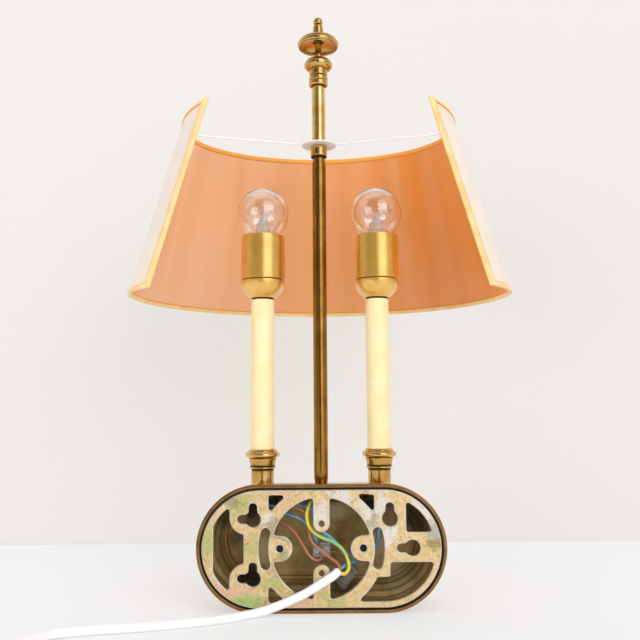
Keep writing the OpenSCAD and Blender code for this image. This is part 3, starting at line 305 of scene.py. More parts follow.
def put(tree, kind, inputs, out=0, **settings):
    """Adds a shader node with its settings and inputs, and returns one of its outputs."""
    node = tree.nodes.new("ShaderNode" + kind)
    for key, value in settings.items():
        setattr(node, key, value)
    wire(tree, node, inputs)
    return node.outputs[out]


def material(name, **sockets):
    """New material with its tree, its Principled shader and the part's coordinates in metres."""
    made = bpy.data.materials.new(name)
    made.use_nodes = True
    tree = made.node_tree
    shader = tree.nodes["Principled BSDF"]
    wire(tree, shader, {key.replace("_", " "): value for key, value in sockets.items()})
    return made, tree, shader, put(tree, "TexCoord", {}, "Object")


def tinted(tree, tone, colour, pattern, low, high, most=1.0):
    """Blends a colour into a tone: not at all where a pattern is at low, and by the most at high.

    Tone and colour are six hex digits, a linear colour or a colour from other nodes."""
    pair = [linear(c) if isinstance(c, str) else c for c in (tone, colour)]
    share = put(tree, "MapRange", {0: pattern, 1: low, 2: high, 3: 0.0, 4: most})
    return put(tree, "Mix", {0: share, 6: pair[0], 7: pair[1]}, 2, data_type="RGBA")


def surface(tree, shader, tone, dull, relief, strength, depth):
    """Gives a material its colour, its roughness and a relief of a depth in millimetres."""
    bump = put(tree, "Bump", {"Strength": strength, "Distance": depth * MM, "Height": relief})
    wire(tree, shader, {"Base Color": tone, "Roughness": dull, "Normal": bump})


def aged_brass(name, dark, light, tarnish, rough):
    """Polished brass with age: warm patches, brown spots, dark grooves, and hair-fine streaks upright."""
    made, tree, shader, where = material(name, Metallic=1.0)
    cloud = put(tree, "TexNoise", {"Vector": where, "Scale": per_metre(14.3), "Detail": 5.0})
    spot = put(tree, "TexNoise", {"Vector": where, "Scale": per_metre(2.38), "Detail": 4.0, "Roughness": 0.65})
    long = put(tree, "Mapping", {"Vector": where, "Scale": (1.0, 1.0, 0.05)})
    streak = put(tree, "TexNoise", {"Vector": long, "Scale": per_metre(0.714), "Detail": 2.0})
    groove = put(tree, "Attribute", {}, "Fac", attribute_name="groove")
    base = tinted(tree, dark, light, cloud, 0.24, 0.76)
    spotted = tinted(tree, base, tarnish, spot, 0.6, 0.76, 0.5)
    deep = put(tree, "MapRange", {0: groove, 1: 0.02, 2: 0.5, 3: 0.0, 4: 0.92})
    grimy = put(tree, "Mix", {0: deep, 6: spotted, 7: linear("2b2410")}, 2, data_type="RGBA")
    worn = tinted(tree, grimy, "f3d38c", groove, -0.05, -0.6, 0.45)
    gloss = put(tree, "MapRange", {0: spot, 1: 0.3, 2: 0.75, 3: rough, 4: rough + 0.12})
    dull = put(tree, "Math", {0: deep, 1: 0.35, 2: gloss}, operation="MULTIPLY_ADD")
    surface(tree, shader, worn, dull, streak, 0.12, 0.2)
    return made


# Cups, finial and the pan's outside: golden, with brown age and bright rubbed ridges
BRASS = aged_brass("brass polished aged", "b98a3c", "deb76f", "6b4517", 0.12)
# Upper tube: a paler copy of the brass, as painted light on the tube that stands clear of the lampshade
LIT_UPPER_BRASS = aged_brass("brass tube painted light", "d9a850", "f6d694", "8a6024", 0.16)
# Lower stem tube: a browner, darker copy of the brass, as painted shade under the lampshade
SHADED_STEM_BRASS = aged_brass("brass tube painted shade", "8a5c24", "b3843c", "4a2b0e", 0.13)
# Rim of the pan: rubbed and hardly polished, browner and darker as partly painted shade
RUBBED_SHADED_RIM_BRASS = aged_brass("brass rim rubbed and painted shade", "85603a", "ad8753", "554026", 0.34)


def clouds(tree, tone, where, warp, bend, palette):
    """Soft clouds blended into a tone.

    Each is a disc that fades out. A noise bends its outline, and the noise's mean of a half is taken
    off again."""
    amount = (bend * MM, 0.0, bend * MM)
    bent = put(tree, "VectorMath", {0: warp, 1: amount, 2: where}, operation="MULTIPLY_ADD")
    for colour, cover, places in palette.values():
        for x, z, reach in places:
            middle = ((x + bend / 2) * MM, 0.0, (z + bend / 2) * MM)
            away = put(tree, "VectorMath", {0: bent, 1: middle}, "Value", operation="DISTANCE")
            core = 0.45 * reach
            tone = tinted(tree, tone, colour, away, reach * MM, core * MM, cover)
    return tone


# Patches on the pan's inside: a colour, how far it covers, and each patch's middle x and z and its reach,
# in millimetres. The darkest are painted shadow in corners and keyholes, the dirty ones partly painted shade.
PAN_PATCHES = {
    "dust": ("d8cba6", 0.5, [(52, -6, 10), (52, -18, 9), (-49, -8, 11), (-65, -32, 13), (-14, 24, 12)]),
    "grime_and_shade": ("24180b", 0.65, [(-80, 17, 17), (85, 20, 11), (74, 1, 10), (61, 14, 9), (-18, -40, 13)]),
    "painted_shadow": ("0b0704", 0.96, [(62, -32, 18), (42, 30, 14), (-41, 30, 14), (62, 25, 10)])}


def pan_inside():
    """Unpolished pan inside: oxide, dirt, dust and turning marks; painted shade at the top and in patches.

    The marks follow the outline: the UV map's second value is the distance along the profile from the
    floor's middle."""
    made, tree, shader, where = material("brass casting oxidised with painted shade", Metallic=0.3)
    _, along, _ = put(tree, "SeparateXYZ", {"Vector": put(tree, "TexCoord", {}, "UV")}).node.outputs
    cloud = put(tree, "TexNoise", {"Vector": where, "Scale": per_metre(26.3), "Detail": 6.0, "Roughness": 0.62})
    grain = put(tree, "TexNoise", {"Vector": where, "Scale": per_metre(0.769), "Detail": 4.0, "Roughness": 0.7})
    mark = put(tree, "TexNoise", {"W": along, "Scale": per_metre(3.33), "Detail": 2.0}, noise_dimensions="1D")
    oxide = tinted(tree, "8c6c36", "d2b373", cloud, 0.34, 0.68)
    _, _, height = put(tree, "SeparateXYZ", {"Vector": where}).node.outputs
    # Painted shade: the inside gets darker towards the top, which the plate shades
    painted_shade_top = tinted(tree, oxide, "3a2c19", height, 22 * MM, 40 * MM, 0.7)
    warp = put(tree, "TexNoise", {"Vector": where, "Scale": per_metre(11.1), "Detail": 4.0}, "Color")
    flat = put(tree, "VectorMath", {0: where, 1: (1.0, 0.0, 1.0)}, operation="MULTIPLY")
    base = clouds(tree, painted_shade_top, flat, warp, 14, PAN_PATCHES)
    outer = put(tree, "MapRange", {0: along, 1: 26 * MM, 2: 34 * MM, 3: 0.08, 4: 0.6})
    line = put(tree, "MapRange", {0: mark, 1: 0.5, 2: 0.62})
    turning = put(tree, "Math", {0: line, 1: outer}, operation="MULTIPLY")
    ringed = put(tree, "Mix", {0: turning, 6: base, 7: linear("4a391f")}, 2, data_type="RGBA")
    dusty = tinted(tree, ringed, "dccaa0", grain, 0.52, 0.72, 0.35)
    gloss = put(tree, "MapRange", {0: cloud, 1: 0.3, 2: 0.7, 3: 0.36, 4: 0.58})
    rough = put(tree, "Math", {0: grain, 1: 0.3}, operation="MULTIPLY")
    relief = put(tree, "Math", {0: mark, 1: outer, 2: rough}, operation="MULTIPLY_ADD")
    surface(tree, shader, dusty, gloss, relief, 0.3, 0.6)
    return made


INSIDE = pan_inside()


# Clouds in the plate's plating: a colour, how far it covers, and each cloud's middle x and z and its
# reach, in millimetres
ZINC_CLOUDS = {
    "olive": ("bdbd70", 0.78, [(68, 34, 12), (92, 5, 15), (58, 1, 15), (-10, -43, 12), (38, -27, 11)]),
    "green": ("b0d07c", 0.85, [(64, -41, 10), (52, -42, 9)]),
    "pink": ("ebbd9a", 0.75, [(62, 10, 8), (80, -35, 13), (60, -28, 11), (16, -43, 13), (34, 40, 12)]),
    "straw": ("dec78e", 0.6, [(-30, -38, 10), (-70, -8, 9), (2, -33, 10), (33, -2, 9), (-62, -30, 10)]),
    "white": ("e9e5de", 0.82, [(3, 27, 12), (-17, 42, 12), (-40, 26, 14), (-48, 36, 10), (-53, 8, 10),
                               (-80, 29, 13), (45, 22, 8)]),
    "grey": ("b4b4ac", 0.85, [(-90, 14, 10)]),
    "dull": ("9f9573", 0.7, [(39, 17, 9), (31, 9, 8), (31, -7, 8), (36, -17, 8), (-41, 21, 8), (73, 36, 8)]),
    "brown": ("97874c", 0.8, [(-92, 3, 8)])}


def yellow_zinc():
    """Yellow-passivated zinc: straw gold with green, pink and white clouds, dark specks and scratches."""
    made, tree, shader, where = material("zinc yellow passivated", Metallic=0.45)
    fine = put(tree, "TexNoise", {"Vector": where, "Scale": per_metre(4.76), "Detail": 6.0, "Roughness": 0.7})
    warp = put(tree, "TexNoise", {"Vector": where, "Scale": per_metre(10.5), "Detail": 5.0,
                                  "Roughness": 0.65}, "Color")
    speck = put(tree, "TexNoise", {"Vector": where, "Scale": per_metre(1.61), "Detail": 4.0, "Roughness": 0.6})
    tone = tinted(tree, "dbb470", "efdaac", fine, 0.34, 0.66)
    tone = clouds(tree, tone, where, warp, 34, ZINC_CLOUDS)
    tone = tinted(tree, tone, "7d6636", speck, 0.57, 0.68, 0.5)
    tone = tinted(tree, tone, "f3e8cf", speck, 0.43, 0.34, 0.4)
    for turn in (0.5, 1.3, 2.4):
        tilted = put(tree, "Mapping", {"Vector": where, "Rotation": (0.0, turn, 0.0),
                                       "Scale": (9.0, 1.0, 1.0)}, vector_type="TEXTURE")
        scratch = put(tree, "TexNoise", {"Vector": tilted, "Scale": per_metre(1.28), "Detail": 2.0})
        tone = tinted(tree, tone, "6f5a33", scratch, 0.63, 0.7, 0.45)
    gloss = put(tree, "MapRange", {0: fine, 1: 0.3, 2: 0.7, 3: 0.32, 4: 0.54})
    surface(tree, shader, tone, gloss, speck, 0.2, 0.3)
    return made


ZINC_YELLOW = yellow_zinc()


def plain_metal(name, colour, shade, rough):
    """Bare or plated metal: two close tones in fine clouds, uneven gloss and a light brushed grain."""
    made, tree, shader, where = material(name, Metallic=1.0)
    fine = put(tree, "TexNoise", {"Vector": where, "Scale": per_metre(1.667), "Detail": 5.0})
    tone = tinted(tree, shade, colour, fine, 0.35, 0.65)
    gloss = put(tree, "MapRange", {0: fine, 1: 0.3, 2: 0.7, 3: rough, 4: rough + 0.14})
    surface(tree, shader, tone, gloss, fine, 0.08, 0.2)
    return made


# Cut edges of the plate: pale zinc colour as a painted highlight where the rounded edges catch the light
EDGE_HIGHLIGHT = plain_metal("zinc edge painted highlight", "f2eee6", "d6d0c4", 0.34)
# Nuts, washers, lug and pins: grey, dull shine
ZINC = plain_metal("zinc plated steel", "c9cccd", "9da1a3", 0.28)
# Studs: nearly black screw ends
STEEL = plain_metal("steel blackened", "3a3d42", "1d1f23", 0.4)
# Socket's thread and contact: plain yellow brass sheet
CONTACT = plain_metal("brass contact sheet", "e0bf74", "b98f45", 0.22)
# Bulb's screw cap: bright soft aluminium
CAP = plain_metal("aluminium lamp cap", "dfe1e2", "b9bcbe", 0.24)
# Filament and its lead wires: bright grey wire
FILAMENT = plain_metal("tungsten wire", "f4f4f2", "d2d2d0", 0.2)


def satin_gold():
    """Gold-lacquered lamp holder: even sheen, fine sprayed grain, and a clear coat with a strong shine."""
    made, tree, shader, where = material("steel gold lacquered satin", Metallic=0.8, Coat_Weight=1.0,
                                         Coat_Roughness=0.3, Coat_IOR=2.0)
    cloud = put(tree, "TexNoise", {"Vector": where, "Scale": per_metre(11.1), "Detail": 3.0})
    grain = put(tree, "TexNoise", {"Vector": where, "Scale": per_metre(0.3125), "Detail": 2.0})
    tone = tinted(tree, "eaae26", "f4bd3c", cloud, 0.35, 0.65)
    gloss = put(tree, "MapRange", {0: grain, 1: 0.3, 2: 0.7, 3: 0.28, 4: 0.36})
    surface(tree, shader, tone, gloss, grain, 0.1, 0.1)
    return made


GOLD = satin_gold()


def plastic(name, colour, shade, rough, soft=0.0, **sockets):
    """Plastic, paint, card or ceramic: two close tones, uneven gloss, a faint grain and some inner glow."""
    made, tree, shader, where = material(name, Subsurface_Weight=soft, Subsurface_Radius=(1.0, 0.7, 0.4),
                                         Subsurface_Scale=2 * MM, **sockets)
    cloud = put(tree, "TexNoise", {"Vector": where, "Scale": per_metre(18.2), "Detail": 5.0})
    fine = put(tree, "TexNoise", {"Vector": where, "Scale": per_metre(1.111), "Detail": 3.0})
    tone = tinted(tree, colour, shade, cloud, 0.35, 0.68)
    gloss = put(tree, "MapRange", {0: fine, 1: 0.3, 2: 0.7, 3: rough - 0.04, 4: rough + 0.08})
    surface(tree, shader, tone, gloss, fine, 0.06, 0.2)
    return made


# Candle sleeves: waxy cream card tube
CREAM = plastic("card tube cream", "fdeab8", "fae1a6", 0.44, 0.12)
# Rings between sleeve and holder: dark rubber. The same dark is painted shade in the holder's seam,
# under the collar and in the pan's gap round the plate
DARK_RUBBER_AND_SHADE = plastic("rubber dark and painted shade", "1c1713", "2a221b", 0.55)
# Insert of the lamp holder: glazed white
PORCELAIN = plastic("porcelain glazed", "f2efe8", "e9e4da", 0.16)
# Insulator in the bulb's cap: black glass
BLACK_GLASS = plastic("glass black", "0c0c0e", "15151a", 0.1)
# Disc and arms that carry the shade: white enamel
ENAMEL = plastic("steel white enamelled", "f6f3ee", "efe9e1", 0.3)
# Terminal block: clear polythene with bright edges
MILKY = plastic("polythene clear", "d9dcd8", "a9afac", 0.14, 0.1, Transmission_Weight=0.65)
# Push-in connector: smoky grey with a pink cast
SMOKY = plastic("polycarbonate smoky", "bda79f", "7c6d69", 0.1, Transmission_Weight=0.7)
# Insulation of the wires and sheath of the cable: smooth and half matt, in faded brown, sky blue and white
BROWN = plastic("pvc brown", "c2805a", "b87650", 0.36)
BLUE = plastic("pvc blue", "84bfe6", "68aad8", 0.34)
SHEATH = plastic("pvc white sheath", "fcfcfc", "f8f8f8", 0.38, 0.08)
# Tie: matt black strip
TIE = plastic("polyamide black", "141414", "1f1f1f", 0.42)
# Plug: white, half matt
PLUG = plastic("pvc white plug", "f1f0ec", "e8e6e1", 0.4, 0.06)


def earth_wire_skin():
    """Yellow insulation with a green stripe that winds slowly round the wire."""
    made, tree, shader, where = material("pvc green and yellow", Roughness=0.34)
    across, along, _ = put(tree, "SeparateXYZ", {"Vector": put(tree, "TexCoord", {}, "UV")}).node.outputs
    lay = put(tree, "Math", {0: along, 1: per_metre(55)}, operation="MULTIPLY")
    phase = put(tree, "Math", {0: across, 1: 1 / (TURN * EARTH_R * MM), 2: lay}, operation="MULTIPLY_ADD")
    angle = put(tree, "Math", {0: phase, 1: TURN}, operation="MULTIPLY")
    wave = put(tree, "Math", {0: angle}, operation="SINE")
    fine = put(tree, "TexNoise", {"Vector": where, "Scale": per_metre(1.43), "Detail": 3.0})
    yellow = put(tree, "Mix", {0: fine, 6: linear("f2df3c"), 7: linear("e9cf45")}, 2, data_type="RGBA")
    both = tinted(tree, yellow, "7fc489", wave, 0.15, 0.35)
    wire(tree, shader, {"Base Color": both})
    return made


EARTH = earth_wire_skin()


def clear_glass():
    """Clear blown glass: faint uneven thickness in its normal, and a breath of dust in its gloss.

    Its IOR is above that of plain glass, for rims as bright as the real bulbs have."""
    made, tree, shader, where = material("glass clear", Transmission_Weight=1.0, IOR=1.75)
    wave = put(tree, "TexNoise", {"Vector": where, "Scale": per_metre(16.7), "Detail": 1.0})
    dust = put(tree, "TexNoise", {"Vector": where, "Scale": per_metre(0.5556), "Detail": 2.0})
    gloss = put(tree, "MapRange", {0: dust, 1: 0.6, 2: 0.8, 3: 0.0, 4: 0.08})
    surface(tree, shader, linear("fdfefe"), gloss, wave, 0.05, 1)
    return made


CLEAR = clear_glass()


def pressed_glass():
    """Pressed stem of the bulb's mount: thick glass, a little milky, with dents that break up its glints."""
    made, tree, shader, where = material("glass pressed", Transmission_Weight=0.85, IOR=1.5, Roughness=0.03)
    dent = put(tree, "TexNoise", {"Vector": where, "Scale": per_metre(2.38), "Detail": 2.0})
    tone = tinted(tree, "fdfdfd", "dfe2e4", dent, 0.35, 0.65)
    bump = put(tree, "Bump", {"Strength": 0.7, "Distance": 1.2 * MM, "Height": dent})
    wire(tree, shader, {"Base Color": tone, "Normal": bump})
    return made


PRESSED = pressed_glass()


def woven(name, colour, shade, thread, rough, sheen):
    """Cloth on card: two thread directions as bump, slubs in its tone, and a soft sheen."""
    made, tree, shader, where = material(name, Sheen_Weight=sheen, Sheen_Roughness=0.4)
    uv = put(tree, "TexCoord", {}, "UV")
    scale = bands_per_metre(thread)
    warp = put(tree, "TexWave", {"Vector": uv, "Scale": scale, "Distortion": 0.6}, 1, bands_direction="X")
    weft = put(tree, "TexWave", {"Vector": uv, "Scale": scale, "Distortion": 0.6}, 1, bands_direction="Y")
    cloth = put(tree, "Math", {0: warp, 1: weft}, operation="MAXIMUM")
    long = put(tree, "Mapping", {"Vector": uv, "Scale": (0.05, 1.0, 1.0)})
    slub = put(tree, "TexNoise", {"Vector": long, "Scale": per_metre(1.111), "Detail": 3.0})
    cloud = put(tree, "TexNoise", {"Vector": where, "Scale": per_metre(55.6), "Detail": 3.0})
    mixed = put(tree, "Math", {0: slub, 1: 0.5, 2: cloud}, operation="MULTIPLY_ADD")
    tone = tinted(tree, colour, shade, mixed, 0.55, 0.95)
    surface(tree, shader, tone, rough, cloth, 0.18, 0.3)
    return made


# Outside of the shade: cream cloth with a fine weave, drawn at 0.55 mm a thread so that it shows
CLOTH = woven("cotton cream on card", "f3e6d8", "ecdccb", 0.55, 0.75, 0.25)


def ribbon_skin():
    """Gold ribbon folded over the shade's edge: cream-gold fold, orange selvedges, painted bounce light on top.

    The UV map's first value goes round the section, and the selvedges meet where it is RIBBON_SEAM."""
    made, tree, shader, where = material("ribbon gold with painted bounce light", Sheen_Weight=0.3, Sheen_Roughness=0.4, Roughness=0.6)
    uv = put(tree, "TexCoord", {}, "UV")
    across, _, _ = put(tree, "SeparateXYZ", {"Vector": uv}).node.outputs
    _, y, z = put(tree, "SeparateXYZ", {"Vector": where}).node.outputs
    rib = put(tree, "TexWave", {"Vector": uv, "Scale": bands_per_metre(0.8), "Distortion": 1.0}, 1,
              bands_direction="Y")
    cloud = put(tree, "TexNoise", {"Vector": where, "Scale": per_metre(16.7), "Detail": 4.0})
    face = tinted(tree, "fddf9f", "f8cd82", cloud, 0.35, 0.65)
    # Painted bounce light: the top run at the shade's front is tinted deeper orange, as light from the lining
    # would
    far = put(tree, "MapRange", {0: y, 1: -40 * MM, 2: -100 * MM})
    high = put(tree, "MapRange", {0: z, 1: 368 * MM, 2: 374 * MM})
    top = put(tree, "Math", {0: high, 1: far}, operation="MULTIPLY")
    run = put(tree, "Mix", {0: top, 6: face, 7: linear("f9b04a")}, 2, data_type="RGBA")
    past = put(tree, "Math", {0: across, 1: RIBBON_SEAM}, operation="SUBTRACT")
    away = put(tree, "Math", {0: past}, operation="ABSOLUTE")
    both = tinted(tree, run, "eda043", away, (TAPE_T / 2 + 1.5) * MM, (TAPE_T / 2 + 0.7) * MM)
    bump = put(tree, "Bump", {"Strength": 0.15, "Distance": 0.3 * MM, "Height": rib})
    wire(tree, shader, {"Base Color": both, "Normal": bump})
    return made


TAPE = ribbon_skin()


def lining_skin():
    """Orange lining, half-gloss film: painted reflections as upright bands, painted light and shade side to
    side.
    """
    made, tree, shader, where = material("film orange with painted light and reflections", Coat_Weight=0.3, Coat_Roughness=0.3)
    uv = put(tree, "TexCoord", {}, "UV")
    long = put(tree, "Mapping", {"Vector": uv, "Scale": (0.04, 1.0, 1.0)})
    band = put(tree, "TexNoise", {"Vector": long, "Scale": per_metre(38.5), "Detail": 2.0})
    painted_reflection_strip = put(tree, "TexNoise", {"Vector": long, "Scale": per_metre(27.8), "Detail": 1.0})
    fine = put(tree, "TexNoise", {"Vector": where, "Scale": per_metre(0.6667), "Detail": 3.0})
    x, _, _ = put(tree, "SeparateXYZ", {"Vector": where}).node.outputs
    # Painted light and shade: paler at +X, where the inside faces the light, deeper orange at -X, in shade
    painted_light_side = tinted(tree, "f1ad6c", "fdcb9d", x, 0.0, 130 * MM)
    painted_light_and_shade = tinted(tree, painted_light_side, "f2973a", x, 0.0, -100 * MM)
    # Painted reflections: darker and paler upright bands stand for blurred reflections of the upright pieces
    deep = tinted(tree, painted_light_and_shade, "e2924f", band, 0.3, 0.7, 0.4)
    tone = tinted(tree, deep, "f3bb93", painted_reflection_strip, 0.46, 0.72, 0.3)
    gloss = put(tree, "MapRange", {0: fine, 1: 0.3, 2: 0.7, 3: 0.4, 4: 0.5})
    surface(tree, shader, tone, gloss, fine, 0.05, 0.2)
    return made


FILM = lining_skin()


# Pieces

def piece(name, parts, body, materials, nodes=(), loop=False, caps=True, bands=None, tints=None,
          sharp=40):
    """One shown object made of closed surfaces.

    Each part is a grid of points in mm, rows by columns. Its columns close round. Its rows close too
    with `loop`, or else a flat cap closes each end. `bands` gives each row of faces its material and
    `tints` each part's rows their groove value. The UV map is in metres: across a section, then along."""
    points, faces, maps, marks, tint = [], [], [], [], []
    start = 0
    for number, grid in enumerate(parts):
        depth = np.zeros(len(grid)) if tints is None else np.asarray(tints[number], float)
        if caps and not loop:
            ends = [np.repeat(grid[k].mean(0)[None, None], grid.shape[1], 1) for k in (0, -1)]
            grid = np.concatenate([ends[0], grid, ends[1]])
            depth = np.concatenate([depth[:1], depth, depth[-1:]])
        rows, cols = grid.shape[:2]
        i, j = np.meshgrid(np.arange(rows if loop else rows - 1), np.arange(cols), indexing="ij")
        i, j = i.ravel(), j.ravel()
        i1, j1 = (i + 1) % rows, (j + 1) % cols
        faces.append(start + np.column_stack([i * cols + j, i * cols + j1, i1 * cols + j1, i1 * cols + j]))
        around = np.linalg.norm(np.diff(np.concatenate([grid, grid[:, :1]], 1), axis=1), axis=-1).mean(0)
        ahead = np.linalg.norm(np.diff(np.concatenate([grid, grid[:1]], 0), axis=0), axis=-1).mean(1)
        u, v = (np.concatenate([[0], np.cumsum(k)]) * MM for k in (around, ahead))
        maps.append(np.stack([np.stack([u[j], u[j + 1], u[j + 1], u[j]], 1),
                              np.stack([v[i], v[i], v[i + 1], v[i + 1]], 1)], -1))
        marks.append(np.zeros(len(i), int) if bands is None else np.asarray(bands)[i])
        tint.append(np.repeat(depth, cols))
        points.append(grid.reshape(-1, 3))
        start += rows * cols
    mesh = bpy.data.meshes.new(name)
    mesh.from_pydata((np.vstack(points) * MM).tolist(), [], np.vstack(faces).tolist())
    mesh.uv_layers.new(name="surface").data.foreach_set("uv", np.vstack(maps).ravel())
    mesh.attributes.new("groove", "FLOAT", "POINT").data.foreach_set("value", np.concatenate(tint))
    mesh.polygons.foreach_set("material_index", np.concatenate(marks))
    tidy = bmesh.new()
    tidy.from_mesh(mesh)
    bmesh.ops.remove_doubles(tidy, verts=tidy.verts, dist=1e-6)
    bmesh.ops.recalc_face_normals(tidy, faces=tidy.faces)
    tidy.to_mesh(mesh)
    tidy.free()
    mesh.shade_smooth()
    mesh.set_sharp_from_angle(angle=math.radians(sharp))
    return show(name, mesh, body, materials, nodes)


def show(name, mesh, body, materials, nodes):
    """Object of a mesh: it rides on a body, stands for CAD nodes and takes a material slot."""
    made = bpy.data.objects.new(name, mesh)
    bpy.context.scene.collection.objects.link(made)
    for finish in materials:
        mesh.materials.append(finish)
    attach(made, body)
    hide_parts(*nodes)
    return made


def turned_piece(name, profile, body, finish, node, x=0.0, z=0.0, step=0.4, count=72):
    """Turned brass piece from a closed profile with softened corners, its grooves marked for age."""
    line = soften(profile, 0.35, 4, loop=True)
    line = even(np.vstack([line, line[:1]]), step)[:-1]
    return piece(name, [turned(line, x, STEM_Y, z, count)], body, [finish], [node], loop=True,
                 tints=[grooves(line)])


def base():
    """The oval pan as one closed surface: inside with its steps, rim, outside with cove and edge."""
    inner, wall, floor, mouth = COVE + WALL, BASE_TOP - WALL, BASE_DEPTH - WALL, BASE_R - WALL
    a = np.linspace(math.pi / 2, math.asin(WALL / inner), 15)
    inside = np.vstack([
        [[0, floor], [28, floor], [28.4, floor - 0.6], [31, floor - 0.6], [31.4, floor],
         [BASE_TOP - inner, floor]],
        np.column_stack([BASE_TOP - inner * np.sin(a), SIDE_DEPTH + COVE - inner * np.cos(a)]),
        [[wall, 31], [wall - 0.7, 30.5], [wall - 0.7, 28.5], [wall, 28], [wall, 12], [wall - 0.5, 11.6],
         [wall - 0.5, 10.4], [wall, 10], [wall, 3.2], [wall + 0.2, 3], [mouth, 3], [mouth, 0.4]]])
    rim = np.array([[mouth + 0.4, 0], [BASE_R - 0.5, 0]])
    b = np.linspace(0, math.pi / 2, 15)
    edge = BASE_TOP - COVE - EDGE_R
    outside = np.vstack([
        [[BASE_R, 0.5]],
        np.column_stack([BASE_TOP + RIM_LIP * np.cos(b), RIM_DEPTH - RIM_LIP + RIM_LIP * np.sin(b)]),
        np.column_stack([BASE_TOP - COVE * np.sin(b), SIDE_DEPTH + COVE - COVE * np.cos(b)]),
        np.column_stack([edge + EDGE_R * np.cos(b), BASE_DEPTH - EDGE_R + EDGE_R * np.sin(b)]),
        [[20, BASE_DEPTH], [0, BASE_DEPTH]]])
    line = soften(np.vstack([inside, rim, outside]), 0.3, 2)
    # The ledge behind the rim, round the plate, takes the dark finish: painted shade in the gap between plate
    # and pan
    owner = np.repeat(np.repeat([1, 3, 2, 0], [len(inside) - 4, 4, len(rim), len(outside)]), 3)
    piece("base_pan", [oval_sweep(line)], "fixture", [BRASS, INSIDE, RUBBED_SHADED_RIM_BRASS, DARK_RUBBER_AND_SHADE],
          ["base_shell"], caps=False, bands=owner)
    pad_r, pad_top = 10, 46.4
    disc = soften([[0, SEAT_Z], [pad_r, SEAT_Z], [pad_r, pad_top], [0, pad_top]], 0.3)
    piece("base_pads", [turned(disc, x) for x in (-CANDLE_X, 0, CANDLE_X)], "fixture",
          [INSIDE], ["base_shell"])


def plate():
    """The wall plate: its CAD shape, welded and given fine rounded edges, pale as a painted highlight."""
    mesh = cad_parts["wall_plate"].data.copy()
    mesh.name = "plate"
    mesh.materials.clear()
    weld = bmesh.new()
    weld.from_mesh(mesh)
    bmesh.ops.remove_doubles(weld, verts=weld.verts, dist=1e-6)
    bmesh.ops.recalc_face_normals(weld, faces=weld.faces)
    bmesh.ops.dissolve_limit(weld, angle_limit=math.radians(0.5), verts=weld.verts, edges=weld.edges)
    weld.to_mesh(mesh)
    weld.free()
    mesh.shade_smooth()
    mesh.set_sharp_from_angle(angle=math.radians(35))
    made = show("plate", mesh, "fixture", [ZINC_YELLOW, EDGE_HIGHLIGHT], ["wall_plate"])
    edge = made.modifiers.new("rounded edge", "BEVEL")
    edge.width = 0.8 * MM
    edge.segments = 3
    edge.limit_method = "ANGLE"
    edge.angle_limit = math.radians(50)
    edge.use_clamp_overlap = False
    # The rounded edges take the pale painted highlight
    edge.material = 1


def cap_nuts():
    """Domed nuts on the front: a plain skirt, a bead and a dome, turned about the wall's axis."""
    r = 7.5
    line = soften(np.vstack([[[0, 0], [r, 0], [r, 2]], bead(r - 1, r, 2, 4), crown(0, r - 1.4, 4, 12)]), 0.3)
    line = even(line, 0.3)
    grid = turned(line, 0, 0, 0, 64)
    grid = np.stack([grid[..., 0], -BASE_DEPTH - grid[..., 2], grid[..., 1]], -1)
    piece("dome_nuts", [grid + np.array([s * STUD_X, 0, 0]) for s in (-1, 1)], "fixture",
          [BRASS], ["cap_nuts"], tints=[grooves(line)] * 2)


def candle(side, x):
    """One candle: turned cup, cream sleeve and the dark ring on top of it."""
    bore, seat = THREAD_R + SLIP, SLEEVE_R + 0.1
    cup = np.vstack([
        [[bore, 0], [9.5, 0], [9.5, 13.2]], bead(10.1, 11.4, 13.2, 15),
        [[10.2, 15], [11.6, 21.7], [11.2, 22.3]], bead(11.6, 14.6, 22.3, 27.5),
        [[12.4, 27.5], [seat + 1.1, 29.5], [seat, 29.5], [seat, 25.5], [bore, 25.5]]])
    turned_piece("cup_" + side, cup, "fixture", BRASS, "candle_cup_" + side, x, BASE_TOP)
    piece("sleeve_" + side, [turned(ring_profile(8.6, SLEEVE_R, CUP_TOP - 4, SLEEVE_TOP, 0.5), x)],
          "fixture", [CREAM], ["candle_sleeve_" + side], loop=True)
    piece("ring_" + side, [turned(ring_profile(bore, 9.6, SLEEVE_TOP, DOME_LOW), x)],
          "fixture", [DARK_RUBBER_AND_SHADE], ["sleeve_ring_" + side], loop=True)


def holder(side, x):
    """One lamp holder: domed cap and straight shell of lacquered steel, with painted shade in the joint between
    them.
    """
    bore, foot, r, wall = THREAD_R + SLIP, 9.9, HOLDER_R - 0.2, 1.2
    roof = DOME_LOW + 3.6
    inside = quarter(foot - 1, r - wall, roof, DOME_TOP, power=1.5)[::-1]
    cap = np.vstack([
        [[bore, DOME_LOW]], quarter(foot, r, DOME_LOW, DOME_TOP - 0.5, power=1.5),
        [[r - 0.7, DOME_TOP - 0.4], [r - 0.7, DOME_TOP]], inside, [[bore, roof]]])
    turned_piece("dome_" + side, cap, "fixture", GOLD, "holder_cap_" + side, x)
    r = HOLDER_R
    shell = [[r - wall, 0], [r - 0.75, 0], [r - 0.7, 0.35], [r, 0.5], [r - 0.5, SHELL_H - 0.5],
             [r - 0.9, SHELL_H], [r - wall - 0.5, SHELL_H], [r - wall, SHELL_H - 1.2]]
    turned_piece("shell_" + side, shell, "fixture", GOLD, "holder_shell_" + side, x, DOME_TOP,
                 count=96)
    # Painted shade: a dark ring fills the gap between cap and shell
    seam = ring_profile(r - wall - 0.6, r - 0.72, DOME_TOP - 0.5, DOME_TOP + 0.4, 0.1)
    piece("seam_" + side, [turned(seam, x)], "fixture", [DARK_RUBBER_AND_SHADE], loop=True)


